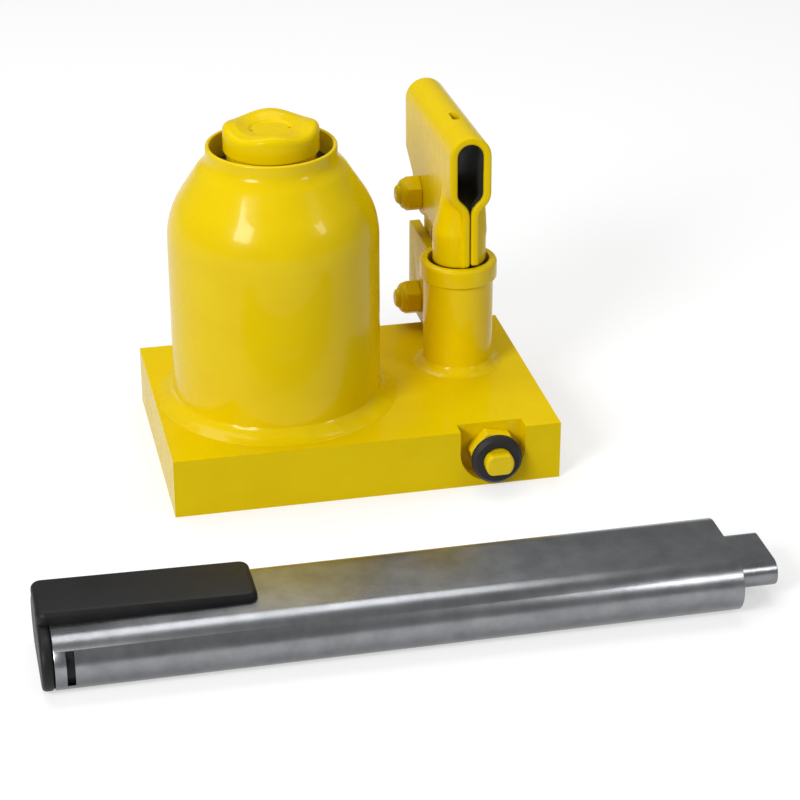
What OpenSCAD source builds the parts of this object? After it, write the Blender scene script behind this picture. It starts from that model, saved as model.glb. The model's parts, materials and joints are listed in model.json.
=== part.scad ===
// Low-profile hydraulic bottle jack with a lever socket and a two-piece flat-oval pump handle.
// Millimetres, +Z up. Origin: the ram's axis where it meets the ground.
// +X runs along the base towards the pump, +Y runs to the back.

/* [Base] */
// Reservoir's wall to the left end of the base plate
base_left_margin = 9.5; // [9:0.5:30]
// Pump tube's wall to the right end of the base plate
base_right_margin = 14.8; // [14:0.2:30]
// Reservoir's wall to the front and back faces of the base plate
base_side_margin = 12.5; // [11:0.5:30]
// Thickness of the base plate
base_h = 29; // [28:0.5:36]
// Radius of the base plate's upright corners
base_corner_r = 2; // [1:0.5:6]

/* [Reservoir] */
// Outer radius of the reservoir
shell_r = 50; // [48:0.5:52]
// Wall of the reservoir
shell_wall = 4.5; // [3.5:0.5:6]
// Radius of the shoulder's arc
shoulder_arc_r = 39.4; // [34:0.2:42]
// Lean of the shoulder's cone from upright, in degrees
shoulder_lean = 33; // [30:1:36]
// Wall of the neck around the top gland
neck_wall = 2; // [2:0.25:3]
// Height of the straight neck above the shoulder's cone
neck_len = 6.27; // [4:0.01:14]
// Height of the neck's rim above the ground
neck_top_z = 157; // [150:0.5:190]
// Size of the weld around the reservoir, outwards and upwards
shell_weld = [8.5, 5.5];

/* [Ram] */
// Radius of the ram
ram_r = 21; // [19:0.5:22]
// Step from the ram out to its piston end
piston_step = 2; // [1.5:0.25:3]
// Length of the piston end
piston_len = 17; // [14:1:24]
// Travel of the ram
ram_stroke = 80; // [60:1:82]
// Wall of the pressure cylinder
cylinder_wall = 4.95; // [4:0.05:6]
// Step from the ram out to the saddle
saddle_lip = 1.5; // [0.5:0.25:3]
// Height of the saddle from its underside to the top of its lobes
saddle_h = 20.2; // [16:0.2:24]
// Depth of the dish in the saddle
dish_depth = 3.8; // [2:0.2:5]
// Number of raised lobes on the saddle's rim
saddle_lobes = 4; // [3:1:5]
// Depth of the waves between the lobes
wave_depth = 3.4; // [1:0.2:4]

/* [Pump] */
// Reservoir's wall to the pump tube's wall along X
pump_gap = 26.5; // [15:0.5:40]
// Ram axis to pump axis along Y
pump_y = 15; // [10:0.5:18]
// Outer radius of the pump tube
pump_r = 17.1; // [16:0.1:18]
// Step from the pump tube out to its collar
collar_lip = 1.8; // [1:0.1:3]
// Height of the collar's rim above the ground
collar_top_z = 85; // [80:0.5:105]
// Height of the collar
collar_h = 9.8; // [8:0.2:12]
// Wall of the pump tube around the opening in its collar
pump_wall = 2.1; // [1.9:0.1:2.5]
// Depth of the opening in the collar
collar_depth = 11; // [8:0.5:12]
// Radius of the plunger
plunger_r = 7; // [6:0.1:7.2]
// Size of the weld around the pump tube, outwards and upwards
pump_weld = [5, 4];

/* [Lever] */
// Offset of the lever's mid plane from the pump axis
lever_offset = 2.5; // [2:0.1:3]
// Thickness of the bent sheet
sheet_t = 3.8; // [3.5:0.1:4]
// Width of the socket's opening
socket_w = 12.8; // [12.4:0.1:13.6]
// Height of the socket's opening
socket_h = 34.2; // [34.1:0.1:38]
// Length of the lever from its front face to its back face
lever_len = 99; // [90:1:105]
// Distance from the front face to the pump axis
lever_nose = 15; // [14:0.5:16]
// Angle by which the socket points up at rest, in degrees
lever_tilt = 1.9; // [0:0.1:3]
// Upper bolt's distance behind the pump axis
bolt_back = 52; // [50:0.5:56]
// Upper bolt's height above the collar's rim
bolt_rise = 13.9; // [13:0.1:24]
// Socket's opening, bottom above the upper bolt
socket_rise = 12.1; // [12:0.1:16]
// Outer radius of the bulge around the plunger
bulge_r = 12.8; // [12.4:0.1:13.4]
// Width of the slit between the front flanges
slit_w = 0.6; // [0.4:0.1:1]

/* [Linkage] */
// Lower bolt's distance behind the pump axis
anchor_back = 47; // [45:0.5:50]
// Lower bolt's height above the ground
anchor_z = 43.9; // [43:0.1:52]
// Radius of the two pivot bolts
bolt_r = 5; // [4.5:0.1:5.5]
// Hexagon size of bolt heads and nuts, across flats
hex_af = 16; // [15:0.5:17]
// Height of a lock nut with its rounded collar
nut_h = 10.4; // [9:0.2:12]
// Thickness of each ear of the pivot bracket
ear_t = 5; // [4:0.5:6]
// Radius of the pin between lever and plunger
pin_r = 3; // [2.6:0.1:3.2]
// Spare length of the pin's slot in the plunger, each way
slot_play = 1.2; // [1.1:0.1:1.4]

/* [Release valve] */
// Height of the valve's axis above the ground
valve_z = 14.8; // [14:0.2:18]
// Radius of the valve spindle
spindle_r = 6.9; // [6:0.1:7.4]
// Distance across the flats of the spindle's end
spindle_flats = 10; // [9:0.5:11]
// Outer radius of the rubber ring
ring_r = 12.2; // [11.5:0.1:12.8]
// Radius of the pocket in the base's front face
pocket_r = 15.8; // [15.4:0.1:16]
// Wall of the gland nut around the spindle
gland_wall = 2.1; // [1.8:0.1:3]
// Width of the gland nut behind the ring, across flats
gland_af = 21; // [20:0.5:22]
// Depth of the pocket
pocket_depth = 8.5; // [6:0.5:10]

/* [Handle] */
// Width and thickness of the outer tube
handle_size = [55.5, 25];
// Wall of the outer tube
handle_wall = 2; // [1.5:0.25:3]
// Length of the outer tube
handle_len = 295.5; // [280:0.5:380]
// Left end of the outer tube to the left of the ram axis
handle_left = 127.5; // [60:0.5:180]
// Handle's centre line in front of the ram axis
handle_front = 176.5; // [170:0.5:200]
// Width and thickness of the sliding inner tube
inner_size = [33.6, 12.2];
// Wall of the inner tube
inner_wall = 1.8; // [1.2:0.1:2.5]
// Length of the inner tube
inner_len = 270; // [220:5:280]
// Length of inner tube that stands out at rest
inner_out = 19; // [15:1:30]
// Travel of the inner tube
inner_travel = 170; // [100:5:175]
// Length of the grip's pad from its outer end
pad_len = 92.8; // [80:0.2:120]
// Thickness of the pad
pad_t = 3.8; // [3:0.2:5]
// Width of the pad
pad_w = 30; // [26:0.5:34]
// Offset of the pad to the back of the handle's centre line
pad_shift = 6.5; // [0:0.5:7]

/* [Fits] */
// Radial clearance of a shaft that slides or turns
run_fit = 0.05; // [0.02:0.01:0.1]
// Radial clearance of a bolt in a plain hole
bolt_fit = 0.1; // [0.05:0.05:0.3]
// Gap between parts that pass each other
side_gap = 0.35; // [0.3:0.05:0.5]

/* [Hidden] */
$fn = 96;
eps = 0.01;
yellow = "#e8c70c";
zinc = "#8d8f91";
bright_steel = "#b9bcc0";
dark_steel = "#5b5e62";
black_rubber = "#26272a";
black_plastic = "#2c2d30";
brass_tone = "#b08a3c";

pump_x = shell_r + pump_gap + pump_r;
base_left = -shell_r - base_left_margin;
base_right = pump_x + pump_r + base_right_margin;
base_len = base_right - base_left;
back_y = shell_r + base_side_margin;
front_y = -back_y;
base_depth = back_y - front_y;

piston_r = ram_r + piston_step;
saddle_r = ram_r + saddle_lip;
cylinder_bore_r = piston_r + run_fit;
cylinder_r = cylinder_bore_r + cylinder_wall;
neck_gap = 0.8;
neck_bore_r = cylinder_r + neck_gap;
neck_r = neck_bore_r + neck_wall;
neck_round = 1.2;
neck_z = neck_top_z - neck_len;
shell_in_r = shell_r - shell_wall;
shoulder_end_r = shell_r - shoulder_arc_r * (1 - cos(shoulder_lean));
shoulder_end_z = neck_z - (shoulder_end_r - neck_r) / tan(shoulder_lean);
shoulder_z = shoulder_end_z - shoulder_arc_r * sin(shoulder_lean);
filler_r = 5;
filler_z = shoulder_z - 12;

cylinder_seat = 7;
cylinder_floor = base_h - cylinder_seat;
gland_top_z = neck_top_z - 11;
gland_h = 20;
gland_z = gland_top_z - gland_h;
gland_lap = 6;
seat_gap = 1;
saddle_z = gland_top_z + seat_gap;
saddle_top_z = saddle_z + saddle_h;
ram_bottom_z = cylinder_floor + 1.5;
spigot_r = 9;
spigot_len = 14;
lobe_turn = 10;

collar_r = pump_r + collar_lip;
collar_bore_r = pump_r - pump_wall;
bolt_z = collar_top_z + bolt_rise;
lever_x = pump_x + lever_offset;
cheek_in = socket_w / 2;
cheek_out = cheek_in + sheet_t;
bolt_y = pump_y + bolt_back;
anchor_y = pump_y + anchor_back;
link_len = norm([bolt_y - anchor_y, bolt_z - anchor_z]);
link_lean = atan2(bolt_y - anchor_y, bolt_z - anchor_z);
link_w = 18;
link_t = socket_w - 2 * side_gap;
socket_mid = socket_rise + socket_h / 2;
socket_top = socket_rise + socket_h;
lever_back = lever_len - lever_nose - bolt_back;
lever_front = -bolt_back - lever_nose;
bulge_in_r = bulge_r - sheet_t;
lobe_r = 11.5;
bend_rise = 9.5;
bend_fall = 2.6;
flange_out = sheet_t + slit_w / 2;
// The bulge and the plunger's pin, seen from the upper bolt in the lever's own frame
nose_y = -bolt_back;
pin_drop = 9.2;
pin_y_in_lever = nose_y + 1.05;
pin_z = bolt_z - pin_y_in_lever * sin(lever_tilt) - pin_drop * cos(lever_tilt);
flange_drop = bolt_z - collar_top_z + (bolt_back + lever_nose) * sin(lever_tilt) - 0.5;
cheek_drop = bolt_z - collar_top_z + (bolt_back - bulge_r - 3) * sin(lever_tilt) - 0.5;
bulge_drop = flange_drop + 1.6;

pump_recess = 16;
pump_floor = base_h - pump_recess;
pump_spigot_r = 12;
plunger_bottom_z = pump_floor + 6;
plunger_shoulder_z = pin_z - 17;
gland_ring_top = collar_top_z - collar_depth;
gland_ring_h = 12;
eye_r = plunger_r - 0.2;
tongue_t = 6.4;

ear_in = link_t / 2 + side_gap + 0.2;
ear_out = ear_in + ear_t;
ear_bottom_z = base_h + 3;
ear_top_z = anchor_z + 34.1;
ear_back = 22;
ear_corner = 3;
web_t = 6;
web_back = anchor_y - link_w / 2 - 6;

duct_z = 7;
duct_r = 3.2;
duct_ball_r = 3;
plug_len = 10;
oil_ring_r = (cylinder_r + shell_in_r) / 2 + 2;
suction_x = pump_x - 11.6;
suction_ball_y = pump_y + 16;
discharge_x = pump_x - 31.6;
relief_x = 30;
relief_vent_y = sqrt(oil_ring_r * oil_ring_r - relief_x * relief_x);
relief_ball_y = relief_vent_y + 4;
relief_screw_y = back_y - 14;
// Way from a ball's centre to the foot of its spring
ball_to_spring = duct_ball_r + 0.4;
relief_turns = 8;
relief_pitch = (relief_screw_y - relief_ball_y - ball_to_spring - 0.6) / relief_turns;
valve_seat_y = front_y + 44;
pocket_back_y = front_y + pocket_depth;
valve_gland_r = spindle_r + gland_wall;
valve_gland_len = 13;
valve_gland_head = 7;
spindle_head_len = 7.5;
ring_t = 4.8;
ring_gap = 0.5;
spindle_head_y = front_y - ring_gap - ring_t - spindle_head_len + 2.4;
spindle_end_y = pocket_back_y + valve_gland_len - 3;

handle_ends = [-handle_left, handle_len - handle_left];
handle_y = -handle_front;
handle_z = handle_size[1] / 2;
cavity_size = [handle_size[0] - 2 * handle_wall, handle_size[1] - 2 * handle_wall];
inner_right = handle_ends[1] + inner_out;
inner_left = inner_right - inner_len;
guide_len = 36;
guide_inset = 8;
cap_t = 5.3;
cap_plug = 16;
latch_w = 3.5;
latch_z = [6.2, 21];

// ---------- shared shapes ----------

// A ring with a round bore, standing on z = 0
module ring(outer, inner, h) {
    difference() {
        cylinder(r = outer, h = h);
        translate([0, 0, -eps]) cylinder(r = inner, h = h + 2 * eps);
    }
}

// A flat oval with full round ends, its width along X
module oval(size) {
    run = size[0] - size[1];
    square([run, size[1]], center = true);
    for (side = [-1, 1]) translate([side * run / 2, 0]) circle(d = size[1]);
}

// Turns an outline drawn with X as +Y and Y as +Z, and extrudes it along +X
module along_x(length) {
    rotate([90, 0, 90]) linear_extrude(length) children();
}

// A round bar from one point to another
module bar(from, to, r) {
    reach = to - from;
    translate(from) rotate([0, acos(reach[2] / norm(reach)), atan2(reach[1], reach[0])])
        cylinder(r = r, h = norm(reach));
}

// A rectangle with rounded corners, made from true arcs
module round_rect(size, r) {
    translate([r, 0]) square([size[0] - 2 * r, size[1]]);
    translate([0, r]) square([size[0], size[1] - 2 * r]);
    for (x = [r, size[0] - r], y = [r, size[1] - r]) translate([x, y]) circle(r = r);
}

// A weld bead around an upright tube, with a hollow face
module weld_ring(r, size) {
    steps = 6;
    face = [for (i = [0 : steps]) [
        r + size[0] - size[0] * sin(90 * i / steps),
        size[1] - size[1] * cos(90 * i / steps)
    ]];
    bow = 0.35;
    chord = [for (i = [0 : steps]) [r + size[0] * (1 - i / steps), size[1] * i / steps]];
    mixed = [for (i = [0 : steps]) face[i] * bow + chord[i] * (1 - bow)];
    translate([0, 0, base_h]) rotate_extrude() polygon(concat([[r, 0]], mixed));
}

// A coil spring of round wire along +Z
module spring(coil_r, wire_r, pitch, turns) {
    steps = 12;
    count = turns * steps;
    sides = 8;
    points = [for (i = [0 : count]) let (turn = 360 * i / steps, z = pitch * i / steps)
        for (k = [0 : sides - 1]) let (a = 360 * k / sides, r = coil_r + wire_r * cos(a))
            [r * cos(turn), r * sin(turn), z + wire_r * sin(a)]];
    walls = [for (i = [0 : count - 1], k = [0 : sides - 1]) let (n = (k + 1) % sides)
        [i * sides + k, (i + 1) * sides + k, (i + 1) * sides + n, i * sides + n]];
    first = [for (k = [0 : sides - 1]) k];
    last = [for (k = [sides - 1 : -1 : 0]) count * sides + k];
    polyhedron(points = points, faces = concat(walls, [first], [last]));
}

// ---------- base ----------

// The pocket around the release valve, open to the top
module valve_pocket() {
    depth = pocket_depth + 1;
    middle = pocket_r + 2;
    translate([pump_x - 1.2, front_y - 1, 0]) {
        translate([0, 0, middle]) rotate([-90, 0, 0]) cylinder(r = pocket_r, h = depth);
        translate([-pocket_r, 0, middle]) cube([2 * pocket_r, depth, base_h]);
    }
}

// Oil ways between pump, cylinder, reservoir and the three valves
module oil_ways() {
    bar([11, pump_y, duct_z], [base_right + 1, pump_y, duct_z], duct_r);
    bar([pump_x, pump_y, duct_z], [pump_x, pump_y, pump_floor + 1], 2.5);
    bar([12, pump_y, duct_z], [12, pump_y, cylinder_floor + 1], 2);
    // suction way and its feed from the oil around the cylinder
    bar([suction_x, pump_y, duct_z], [suction_x, back_y + 1, duct_z], duct_r);
    bar([oil_ring_r * cos(30), oil_ring_r * sin(30), base_h + 1], [suction_x, back_y - 22.5, duct_z], 2);
    // relief way with its vent into the oil around the cylinder
    bar([relief_x, pump_y, duct_z], [relief_x, back_y + 1, duct_z], duct_r);
    bar([relief_x, relief_vent_y, duct_z], [relief_x, relief_vent_y, base_h + 1], 1.8);
    // release way: from the cylinder to the valve, and back to the oil
    bar([15, -8, cylinder_floor + 0.5], [pump_x, valve_seat_y - 1, valve_z], 1.6);
    bar([oil_ring_r * cos(33), -oil_ring_r * sin(33), base_h + 0.5],
        [pump_x, front_y + 36, valve_z], 1.6);
}

module base_plate() {
    color(yellow) difference() {
        translate([base_left, front_y, 0]) linear_extrude(base_h)
            round_rect([base_len, base_depth], base_corner_r);
        translate([0, 0, cylinder_floor]) cylinder(r = cylinder_r + run_fit, h = base_h);
        translate([pump_x, pump_y, pump_floor]) cylinder(r = pump_spigot_r + run_fit, h = base_h);
        valve_pocket();
        translate([pump_x, pocket_back_y - 2, valve_z]) rotate([-90, 0, 0])
            cylinder(r = valve_gland_r, h = valve_gland_len + 2);
        bar([pump_x, pocket_back_y, valve_z], [pump_x, valve_seat_y, valve_z], 4.2);
        oil_ways();
    }
}

module passage_plugs() {
    color(dark_steel) {
        translate([base_right - plug_len, pump_y, duct_z]) rotate([0, 90, 0])
            cylinder(r = duct_r, h = plug_len - 0.5);
        translate([suction_x, back_y - plug_len, duct_z]) rotate([-90, 0, 0])
            cylinder(r = duct_r, h = plug_len - 0.5);
    }
}

module relief_screw() {
    color(dark_steel) translate([relief_x, relief_screw_y, duct_z]) rotate([-90, 0, 0]) difference() {
        cylinder(r = duct_r, h = 13);
        translate([-4, -0.6, 11]) cube([8, 1.2, 3]);
    }
}

module discharge_ball() {
    color(bright_steel) translate([discharge_x, pump_y, duct_z]) sphere(r = duct_ball_r);
}

module discharge_spring() {
    color(bright_steel) translate([discharge_x - ball_to_spring, pump_y, duct_z]) rotate([0, -90, 0])
        spring(2.1, 0.4, 2, 6);
}

module suction_ball() {
    color(bright_steel) translate([suction_x, suction_ball_y, duct_z]) sphere(r = duct_ball_r);
}

module suction_spring() {
    color(bright_steel) translate([suction_x, suction_ball_y - ball_to_spring, duct_z]) rotate([90, 0, 0])
        spring(2.1, 0.4, 2, 4);
}

module relief_ball() {
    color(bright_steel) translate([relief_x, relief_ball_y, duct_z]) sphere(r = duct_ball_r);
}

module relief_spring() {
    color(bright_steel) translate([relief_x, relief_ball_y + ball_to_spring, duct_z]) rotate([-90, 0, 0])
        spring(2.1, 0.4, relief_pitch, relief_turns);
}

// ---------- reservoir and cylinder ----------

// Outline of the shoulder from the straight wall to the neck
function shoulder_points() = [for (i = [0 : 10]) let (a = shoulder_lean * i / 10)
    [shell_r - shoulder_arc_r * (1 - cos(a)), shoulder_z + shoulder_arc_r * sin(a)]];

module reservoir_shell() {
    outline = concat(
        [[shell_in_r, base_h], [shell_r, base_h]],
        shoulder_points(),
        [[neck_r, neck_z], [neck_r, neck_top_z - neck_round], [neck_r - neck_round / 2, neck_top_z],
         [neck_bore_r, neck_top_z], [neck_bore_r, gland_z], [neck_bore_r + 3, gland_z - 3],
         [shell_in_r - 2, shoulder_z], [shell_in_r, shoulder_z - 4]]
    );
    color(yellow) difference() {
        rotate_extrude() polygon(outline);
        translate([0, shell_r - 10, filler_z]) rotate([-90, 0, 0]) cylinder(r = filler_r, h = 20);
    }
}

module reservoir_weld() {
    color(yellow) weld_ring(shell_r, shell_weld);
}

// Rubber plug in the reservoir's back, where oil is filled in
module filler_plug() {
    stem = shell_wall + 1;
    color(black_rubber) translate([0, shell_r - shell_wall - 1, filler_z]) rotate([-90, 0, 0]) {
        cylinder(r = filler_r, h = stem);
        translate([0, 0, stem]) cylinder(r = 7.5, h = 2.5);
    }
}

module pressure_cylinder() {
    color(bright_steel) difference() {
        translate([0, 0, cylinder_floor + 1])
            cylinder(r = cylinder_r, h = gland_z + gland_lap - cylinder_floor - 1.5);
        translate([0, 0, cylinder_floor]) cylinder(r = cylinder_bore_r, h = gland_z);
        translate([0, 0, gland_z - 0.5]) cylinder(r = cylinder_r - 2, h = gland_lap + 2);
    }
}

module cylinder_gasket() {
    color(brass_tone) translate([0, 0, cylinder_floor]) ring(cylinder_r, cylinder_bore_r + 1, 1);
}

// The threaded nut that closes the neck and guides the ram
module top_gland() {
    color(dark_steel) difference() {
        union() {
            translate([0, 0, gland_z + gland_lap])
                cylinder(r = neck_bore_r - run_fit, h = gland_h - gland_lap);
            translate([0, 0, gland_z]) cylinder(r = cylinder_r - 2 - run_fit, h = gland_lap);
        }
        translate([0, 0, gland_z - 1]) cylinder(r = ram_r + run_fit, h = gland_h + 2);
        translate([0, 0, gland_top_z - 5]) cylinder(r = ram_r + 2.5, h = 3);
        translate([0, 0, gland_z + 9]) difference() {
            cylinder(r = neck_bore_r + 1, h = 2.6);
            translate([0, 0, -1]) cylinder(r = neck_bore_r - 2.2, h = 5);
        }
        for (turn = [0 : 90 : 270]) rotate([0, 0, turn + 45])
            translate([neck_bore_r - 2.5, -3, gland_top_z - 3]) cube([6, 6, 6]);
    }
}

module gland_o_ring() {
    color(black_rubber) translate([0, 0, gland_z + 10.3]) rotate_extrude()
        translate([neck_bore_r - 1.25, 0]) circle(r = 0.95, $fn = 24);
}

module ram_wiper() {
    color(black_rubber) translate([0, 0, gland_top_z - 4.9]) ring(ram_r + 2.4, ram_r + run_fit, 2.8);
}

// ---------- ram ----------

module ram() {
    groove = 3.2;
    color(bright_steel) difference() {
        union() {
            translate([0, 0, ram_bottom_z]) cylinder(r = piston_r, h = piston_len);
            translate([0, 0, ram_bottom_z]) cylinder(r = ram_r, h = saddle_z - ram_bottom_z);
        }
        for (z = [ram_bottom_z + 3, ram_bottom_z + 10]) translate([0, 0, z]) difference() {
            cylinder(r = piston_r + 1, h = groove);
            translate([0, 0, -1]) cylinder(r = piston_r - 2.5, h = groove + 2);
        }
        translate([0, 0, saddle_z - spigot_len - 1]) cylinder(r = spigot_r + run_fit, h = spigot_len + 2);
    }
}

module piston_seal() {
    color(black_rubber) translate([0, 0, ram_bottom_z + 3.1]) ring(piston_r, piston_r - 2.4, 3);
}

module piston_guide_ring() {
    color(brass_tone) translate([0, 0, ram_bottom_z + 10.1]) ring(piston_r, piston_r - 2.4, 3);
}

// A round forged cap with a dished top, a low centre disc and waves between raised lobes on its rim
module saddle() {
    disc_r = 9.3;
    gap = 360 / saddle_lobes;
    wave_r = 10;
    color(yellow) {
        difference() {
            translate([0, 0, saddle_z]) rotate_extrude() polygon([
                [0, 0], [saddle_r - 1.5, 0], [saddle_r, 1.5], [saddle_r, saddle_h - 2.4],
                [saddle_r - 0.7, saddle_h - 0.7], [saddle_r - 2.4, saddle_h], [saddle_r - 5.5, saddle_h],
                [disc_r + 0.8, saddle_h - dish_depth + 1], [disc_r, saddle_h - dish_depth],
                [0, saddle_h - dish_depth]
            ]);
            for (turn = [0 : gap : 359]) rotate([0, 0, lobe_turn + gap / 2 + turn])
                translate([disc_r + 1, 0, saddle_top_z + wave_r - wave_depth]) rotate([0, 90, 0])
                    cylinder(r = wave_r, h = saddle_r);
            for (side = [-1, 1]) translate([side * (disc_r - 0.3), 0, saddle_top_z - dish_depth - 1.2])
                cylinder(r = 0.9, h = 4, $fn = 24);
        }
        translate([0, 0, saddle_z - spigot_len]) cylinder(r = spigot_r, h = spigot_len + 1);
    }
}

// ---------- pump ----------

module pump_tube() {
    color(yellow) translate([pump_x, pump_y, 0]) difference() {
        union() {
            translate([0, 0, pump_floor]) cylinder(r = pump_spigot_r, h = pump_recess + 1);
            translate([0, 0, base_h]) cylinder(r = pump_r, h = collar_top_z - base_h - 2);
            translate([0, 0, collar_top_z - collar_h]) rotate_extrude() polygon([
                [0, 0], [collar_r - 0.8, 0], [collar_r, 0.8], [collar_r, collar_h - 3],
                [collar_r - 0.6, collar_h - 1.4], [collar_r - 2, collar_h], [0, collar_h]
            ]);
        }
        translate([0, 0, pump_floor + 3]) cylinder(r = plunger_r + run_fit, h = collar_top_z);
        translate([0, 0, pump_floor - 1]) cylinder(r = 2.5, h = 5);
        translate([0, 0, gland_ring_top - gland_ring_h]) cylinder(r = collar_bore_r, h = 40);
    }
}

module pump_weld_bead() {
    color(yellow) translate([pump_x, pump_y, 0]) weld_ring(pump_r, pump_weld);
}

// The threaded ring that closes the pump tube and guides the plunger
module pump_gland() {
    color(dark_steel) translate([pump_x, pump_y, gland_ring_top - gland_ring_h + 4.2]) difference() {
        cylinder(r = collar_bore_r - run_fit, h = gland_ring_h - 4.2);
        translate([0, 0, -1]) cylinder(r = plunger_r + run_fit, h = gland_ring_h);
        for (side = [-1, 1]) translate([side * 11, 0, gland_ring_h - 6.5])
            cylinder(r = 1.6, h = 5, $fn = 24);
        translate([0, 0, gland_ring_h - 5.6]) cylinder(r1 = plunger_r, r2 = plunger_r + 2.2, h = 2);
    }
}

module pump_seal() {
    color(black_rubber) translate([pump_x, pump_y, gland_ring_top - gland_ring_h])
        ring(collar_bore_r - 0.1, plunger_r + run_fit, 4);
}

// The plunger, its top cut to a tongue with a slotted eye
module plunger() {
    slot = pin_r + 0.3;
    color(bright_steel) difference() {
        union() {
            translate([pump_x, pump_y, plunger_bottom_z])
                cylinder(r = plunger_r, h = plunger_shoulder_z - plunger_bottom_z);
            translate([pump_x, pump_y, plunger_shoulder_z - 1]) intersection() {
                cylinder(r = plunger_r, h = pin_z - plunger_shoulder_z + 1);
                translate([-tongue_t / 2, -plunger_r - 1, 0]) cube([tongue_t, 2 * plunger_r + 2, 40]);
            }
            translate([pump_x - tongue_t / 2, pump_y, pin_z]) rotate([0, 90, 0])
                cylinder(r = eye_r, h = tongue_t);
        }
        translate([pump_x - tongue_t, pump_y, pin_z]) along_x(2 * tongue_t) {
            square([2 * slot_play, 2 * slot], center = true);
            for (side = [-1, 1]) translate([side * slot_play, 0]) circle(r = slot);
        }
    }
}

// ---------- lever ----------

// Places children in the lever's frame: origin on the upper bolt, socket along Y
module lever_frame() {
    translate([lever_x, bolt_y, bolt_z]) rotate([-lever_tilt, 0, 0]) children();
}

// Side view of the sheet behind the nose, X along Y and Y along Z
module cheek_side() {
    polygon([
        [nose_y, socket_mid + 1], [lever_back, socket_mid + 1], [lever_back, socket_rise + 2],
        [lobe_r + 4, 4], [lobe_r * 0.8, -lobe_r * 0.5], [-lobe_r, -lobe_r * 0.65],
        [nose_y + bulge_r + 12, -flange_drop + 8], [nose_y + bulge_r + 3, -cheek_drop],
        [nose_y, -cheek_drop]
    ]);
    circle(r = lobe_r);
}

// One face of the bend between cheek and flange: reach is the face's distance outside the sheet's middle
function bend_face(reach, steps = 6) = let (
    high = socket_rise + bend_rise,
    low = socket_rise - bend_fall,
    far = cheek_in + sheet_t / 2,
    near = (slit_w + sheet_t) / 2,
    turn = 2 * atan((far - near) / (high - low)),
    r = (high - low) / (2 * sin(turn))
) concat(
    [for (i = [0 : steps]) let (a = turn * i / steps)
        [far - r + (r + reach) * cos(a), high - (r + reach) * sin(a)]],
    [for (i = [steps - 1 : -1 : 0]) let (a = turn * i / steps)
        [near + r - (r - reach) * cos(a), low + (r - reach) * sin(a)]]
);

// Front view of one half of the nose: straight cheek, double bend and flange
module nose_half() {
    outer = bend_face(sheet_t / 2);
    inner = bend_face(-sheet_t / 2);
    polygon(concat(
        [[cheek_out, socket_mid + 1]], outer, [[flange_out, -flange_drop], [slit_w / 2, -flange_drop]],
        [for (i = [len(inner) - 1 : -1 : 0]) inner[i]], [[cheek_in, socket_mid + 1]]
    ));
}

// Section of the socket's roof
module roof_section() {
    difference() {
        union() {
            translate([0, socket_top - cheek_in]) circle(r = cheek_out);
            translate([-cheek_out, socket_mid])
                square([2 * cheek_out, socket_top - cheek_in - socket_mid]);
        }
        translate([0, socket_top - cheek_in]) circle(r = cheek_in);
        translate([-cheek_in, socket_mid - 20])
            square([socket_w, 20 + socket_top - cheek_in - socket_mid]);
        translate([-cheek_out - 1, socket_mid - 20]) square([2 * cheek_out + 2, 20]);
    }
}

module lever_socket() {
    plunger_x = -lever_offset;
    cone_z = -pin_drop + 8;
    cone_h = 15;
    slot = [2, 7];
    color(yellow) lever_frame() difference() {
        union() {
            translate([0, lever_back, 0]) rotate([90, 0, 0]) linear_extrude(lever_len) roof_section();
            for (side = [-1, 1]) translate([side * (cheek_in + sheet_t / 2) - sheet_t / 2, 0, 0])
                along_x(sheet_t) cheek_side();
            for (side = [0, 1]) mirror([side, 0, 0]) translate([0, nose_y, 0]) rotate([90, 0, 0])
                linear_extrude(lever_nose) nose_half();
            translate([plunger_x, nose_y, -bulge_drop]) cylinder(r = bulge_r, h = cone_z + bulge_drop);
            translate([plunger_x, nose_y, cone_z]) cylinder(r1 = bulge_r, r2 = bulge_r - 5.5, h = cone_h);
        }
        // room for the plunger
        translate([plunger_x, nose_y, -bulge_drop - 1])
            cylinder(r = bulge_in_r, h = cone_z + bulge_drop + 1);
        translate([plunger_x, nose_y, cone_z - eps])
            cylinder(r1 = bulge_in_r, r2 = bulge_in_r - 5.5, h = cone_h + 2 * eps);
        // the sheet is open underneath behind the nose
        translate([-cheek_in, nose_y - bulge_in_r + 1, -40]) cube([socket_w, lever_len, 40 + socket_mid]);
        translate([0, lever_back + 1, socket_mid]) rotate([90, 0, 0]) linear_extrude(lever_len + 2)
            rotate(90) oval([socket_h, socket_w]);
        translate([-20, 0, 0]) rotate([0, 90, 0]) cylinder(r = bolt_r + bolt_fit, h = 40);
        translate([-30, pin_y_in_lever, -pin_drop]) rotate([0, 90, 0]) cylinder(r = pin_r, h = 60);
        // slot on top of the socket
        translate([0, lever_front + 36, socket_top - 2]) {
            for (y = [-slot[1] / 2, slot[1] / 2]) translate([0, y, 0])
                cylinder(r = slot[0], h = 9, $fn = 32);
            translate([-slot[0], -slot[1] / 2, 0]) cube([2 * slot[0], slot[1], 9]);
        }
    }
}

module plunger_pin() {
    reach = bulge_r - 0.4;
    color(yellow) lever_frame() translate([-lever_offset - reach, pin_y_in_lever, -pin_drop])
        rotate([0, 90, 0]) cylinder(r = pin_r, h = 2 * reach);
}

// ---------- linkage and fasteners ----------

module link() {
    color(yellow) translate([lever_x - link_t / 2, anchor_y, anchor_z]) rotate([-link_lean, 0, 0])
        difference() {
            along_x(link_t) {
                translate([-link_w / 2, 0]) square([link_w, link_len]);
                circle(d = link_w);
                translate([0, link_len]) circle(d = link_w);
            }
            for (z = [0, link_len]) translate([-1, 0, z]) rotate([0, 90, 0])
                cylinder(r = bolt_r + run_fit, h = link_t + 2);
        }
}

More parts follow.
